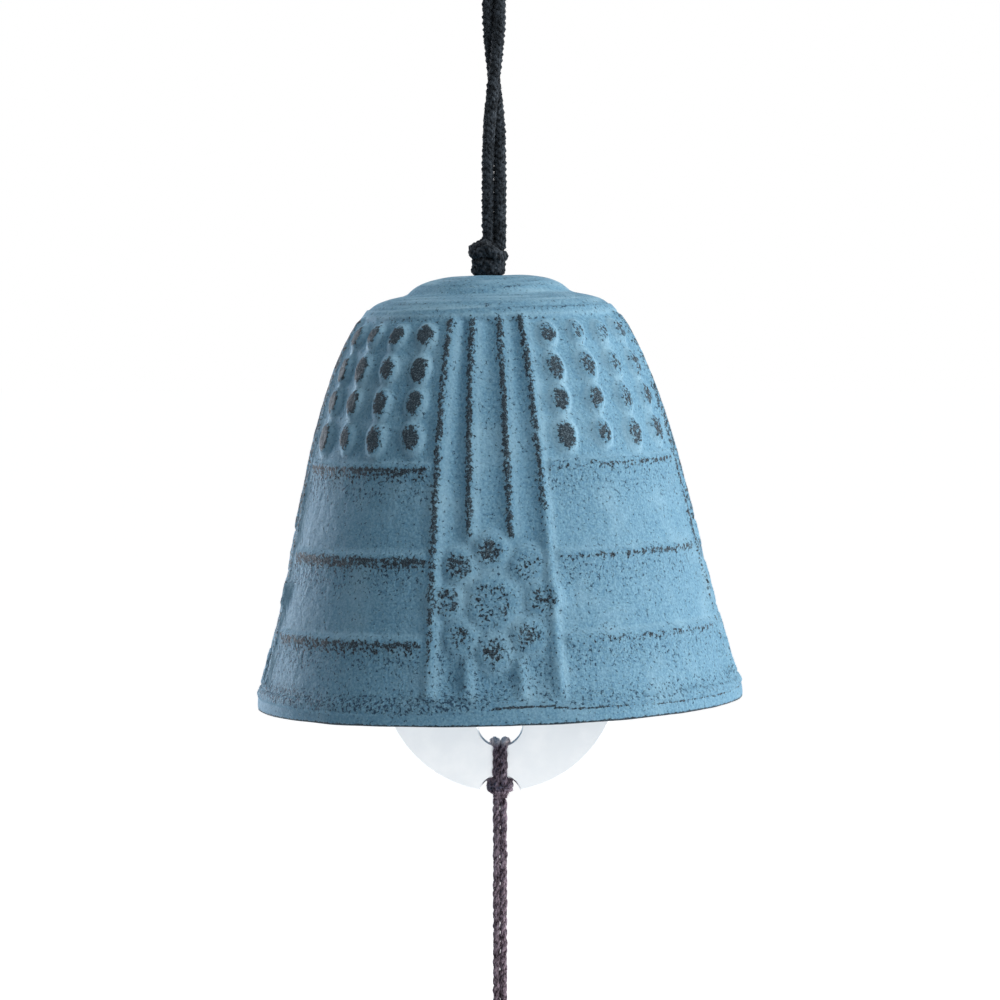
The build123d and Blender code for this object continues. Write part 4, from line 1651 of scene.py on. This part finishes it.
@dataclass
class WindStrip:
    """The paper strip that catches the wind, slightly curled, with a punched hole near its top."""

    width: float = 42.0
    length: float = 105.0
    thickness: float = 0.3
    hole: Point = (0.8, -1.0, -172.4)
    hole_radius: float = 2.0
    hole_inset: float = 5.5
    hole_sides: int = 48
    punch_length: float = 6.0
    squares: tuple[int, int] = (42, 110)
    curl: float = 1.6
    ripple: float = 0.25
    crease: float = 40.0
    finish: StripPaper = StripPaper()

    def build(self) -> None:
        """Build the strip, dress it and hand it over."""
        deselect()
        middle = self.hole[2] + self.hole_inset - self.length / 2
        bpy.ops.mesh.primitive_grid_add(
            x_subdivisions=self.squares[0], y_subdivisions=self.squares[1], size=1.0,
            location=(self.hole[0] * MM, self.hole[1] * MM, middle * MM), rotation=(math.pi / 2, 0, 0),
        )
        strip = bpy.context.object
        strip.name = strip.data.name = "wind_strip_paper"
        strip.scale = (self.width * MM, self.length * MM, 1.0)
        settle(strip)
        self._curl(strip)
        solid = strip.modifiers.new("thickness", "SOLIDIFY")
        solid.thickness = self.thickness * MM
        solid.offset = 0.0
        punch = self._punch()
        cut = strip.modifiers.new("hole", "BOOLEAN")
        cut.operation = "DIFFERENCE"
        cut.solver = "EXACT"
        cut.object = punch
        apply_modifiers(strip)
        bpy.data.objects.remove(punch)
        strip.data.materials.append(self.finish.material())
        bpy.ops.object.shade_smooth_by_angle(angle=math.radians(self.crease))
        hand_over(strip, Body.STRIP, ("wind_strip",))

    def _curl(self, strip: bpy.types.Object) -> None:
        """Curl the flat sheet a little, most at its foot and not at all at its hole.

        Args:
            strip: the flat sheet.
        """
        for vertex in strip.data.vertices:
            across = (vertex.co.x / MM - self.hole[0]) / (self.width / 2)
            down = (self.hole[2] - vertex.co.z / MM) / (self.length - self.hole_inset)
            down = min(max(down, 0.0), 1.0)
            trough = 0.6 * across**2 * (0.25 + 0.75 * down)
            bow = self.curl * (trough + down**2 * (0.8 + 0.2 * across))
            bow += self.ripple * math.sin(down * 5 + across) * down
            vertex.co.y += bow * MM

    def _punch(self) -> bpy.types.Object:
        """Make the round tool that cuts the hole.

        Returns:
            The tool, standing in the strip.
        """
        deselect()
        bpy.ops.mesh.primitive_cylinder_add(
            vertices=self.hole_sides, radius=self.hole_radius * MM, depth=self.punch_length * MM,
            location=[c * MM for c in self.hole], rotation=(math.pi / 2, 0, 0),
        )
        return bpy.context.object


@dataclass(frozen=True)
class Lamp:
    """A square soft light: where it stands, the length of its side, its power in watts and its colour."""

    name: str
    place: Point
    side: float
    power: float
    tint: Point = (1.0, 1.0, 1.0)


@dataclass
class Studio:
    """A white room: a pale floor, soft lights on the right, above and behind on the left, and the camera."""

    eye: Point = (0.8, -560.0, -61.2)
    aim: Point = (0.8, 0.0, -91.28)
    frame_width: float = 134.28
    sensor_width: float = 36.0
    nearest: float = 10.0
    farthest: float = 50000.0
    floor: float = -300.0
    floor_side: float = 16000.0
    floor_glow: float = 0.97
    floor_grey: Colour = (0.9, 0.9, 0.9, 1)
    felt_strength: float = 0.054
    felt_tint: Colour = (0.60, 0.77, 1.0, 1)
    lamps: tuple[Lamp, ...] = (
        Lamp("key", (530, -530, 200), 420, 3.05),
        Lamp("side", (730, 130, -20), 420, 3.35),
        Lamp("top", (40, -60, 480), 360, 1.0),
        Lamp("rim_left", (-530, 530, -40), 300, 3.6, (0.86, 0.91, 1.0)),
    )

    def build(self) -> None:
        """Build the floor, the room's white, the lights and the camera."""
        self._floor()
        self._white()
        for lamp in self.lamps:
            self._light(lamp)
        self._camera()
        bpy.context.scene.view_settings.view_transform = "Standard"

    def _floor(self) -> None:
        """A wide floor that is white to the camera, takes a soft shadow and is clear from below."""
        deselect()
        bpy.ops.mesh.primitive_plane_add(size=self.floor_side * MM, location=(0, 0, self.floor * MM))
        floor = bpy.context.object
        floor.name = "studio_floor"
        material = bpy.data.materials.new("studio_white")
        material.use_nodes = True
        nodes, links = material.node_tree.nodes, material.node_tree.links
        nodes.clear()
        matte = nodes.new("ShaderNodeBsdfDiffuse")
        matte.inputs["Color"].default_value = self.floor_grey
        share = nodes.new("ShaderNodeMath")
        share.operation = "MULTIPLY"
        share.inputs[1].default_value = self.floor_glow
        links.new(self._seen(material.node_tree), share.inputs[0])
        glow = nodes.new("ShaderNodeEmission")
        links.new(share.outputs[0], glow.inputs["Strength"])
        both = nodes.new("ShaderNodeAddShader")
        links.new(matte.outputs[0], both.inputs[0])
        links.new(glow.outputs[0], both.inputs[1])
        side = nodes.new("ShaderNodeNewGeometry")
        clear = nodes.new("ShaderNodeBsdfTransparent")
        pick = nodes.new("ShaderNodeMixShader")
        links.new(side.outputs["Backfacing"], pick.inputs[0])
        links.new(both.outputs[0], pick.inputs[1])
        links.new(clear.outputs[0], pick.inputs[2])
        output = nodes.new("ShaderNodeOutputMaterial")
        links.new(pick.outputs[0], output.inputs["Surface"])
        floor.data.materials.append(material)

    def _white(self) -> None:
        """The room around: white to the camera and in reflections, and a gentle light on everything else."""
        world = bpy.data.worlds.new("studio_room")
        bpy.context.scene.world = world
        world.use_nodes = True
        nodes, links = world.node_tree.nodes, world.node_tree.links
        nodes.clear()
        shown = nodes.new("ShaderNodeBackground")
        shown.inputs["Strength"].default_value = 1.0
        shown.inputs["Color"].default_value = (1, 1, 1, 1)
        felt = nodes.new("ShaderNodeBackground")
        felt.inputs["Strength"].default_value = self.felt_strength
        felt.inputs["Color"].default_value = self.felt_tint
        choice = nodes.new("ShaderNodeMixShader")
        links.new(self._seen(world.node_tree), choice.inputs[0])
        links.new(felt.outputs[0], choice.inputs[1])
        links.new(shown.outputs[0], choice.inputs[2])
        output = nodes.new("ShaderNodeOutputWorld")
        links.new(choice.outputs[0], output.inputs["Surface"])

    @staticmethod
    def _seen(tree: bpy.types.NodeTree) -> Socket:
        """Tell the rays that show a surface from the rays that only light other things.

        Args:
            tree: the node tree to build in.

        Returns:
            A socket that is 1 for camera, glossy and transmission rays, and 0 for all others.
        """
        ray = tree.nodes.new("ShaderNodeLightPath")
        seen = ray.outputs["Is Camera Ray"]
        for kind in ("Is Glossy Ray", "Is Transmission Ray"):
            either = tree.nodes.new("ShaderNodeMath")
            either.operation = "MAXIMUM"
            tree.links.new(seen, either.inputs[0])
            tree.links.new(ray.outputs[kind], either.inputs[1])
            seen = either.outputs[0]
        return seen

    def _light(self, lamp: Lamp) -> None:
        """Set up a lamp that faces the bell.

        Args:
            lamp: the lamp.
        """
        light = bpy.data.lights.new(lamp.name, "AREA")
        light.size = lamp.side * MM
        light.energy = lamp.power
        light.color = lamp.tint
        self._aim(bpy.data.objects.new(lamp.name, light), lamp.place)

    def _camera(self) -> None:
        """The camera, a little above the bell's middle and tipped down, as the photograph was taken."""
        data = bpy.data.cameras.new("camera")
        camera = bpy.data.objects.new("camera", data)
        distance = self._aim(camera, self.eye)
        data.sensor_width = self.sensor_width
        data.lens = self.sensor_width * distance / self.frame_width
        data.clip_start = self.nearest * MM
        data.clip_end = self.farthest * MM
        bpy.context.scene.camera = camera

    def _aim(self, obj: bpy.types.Object, place: Point) -> float:
        """Stand a lamp or the camera in its place, facing the bell.

        Args:
            obj: the lamp or the camera.
            place: where it stands.

        Returns:
            How far it is from the point that it faces.
        """
        bpy.context.collection.objects.link(obj)
        way = Vector(self.aim) - Vector(place)
        obj.location = [c * MM for c in place]
        obj.rotation_euler = way.to_track_quat("-Z", "Y").to_euler()
        return way.length


def main() -> None:
    """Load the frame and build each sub-assembly on it."""
    logging.basicConfig(level=logging.INFO, format="%(message)s")
    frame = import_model()
    black_cotton = HangingCord().build()
    InnerTie().build(black_cotton)
    CastBell().build()
    brown_cotton = Clapper().build(frame["nodes"])
    TailString().build(brown_cotton)
    WindStrip().build()
    Studio().build()


if __name__ == "__main__":
    main()
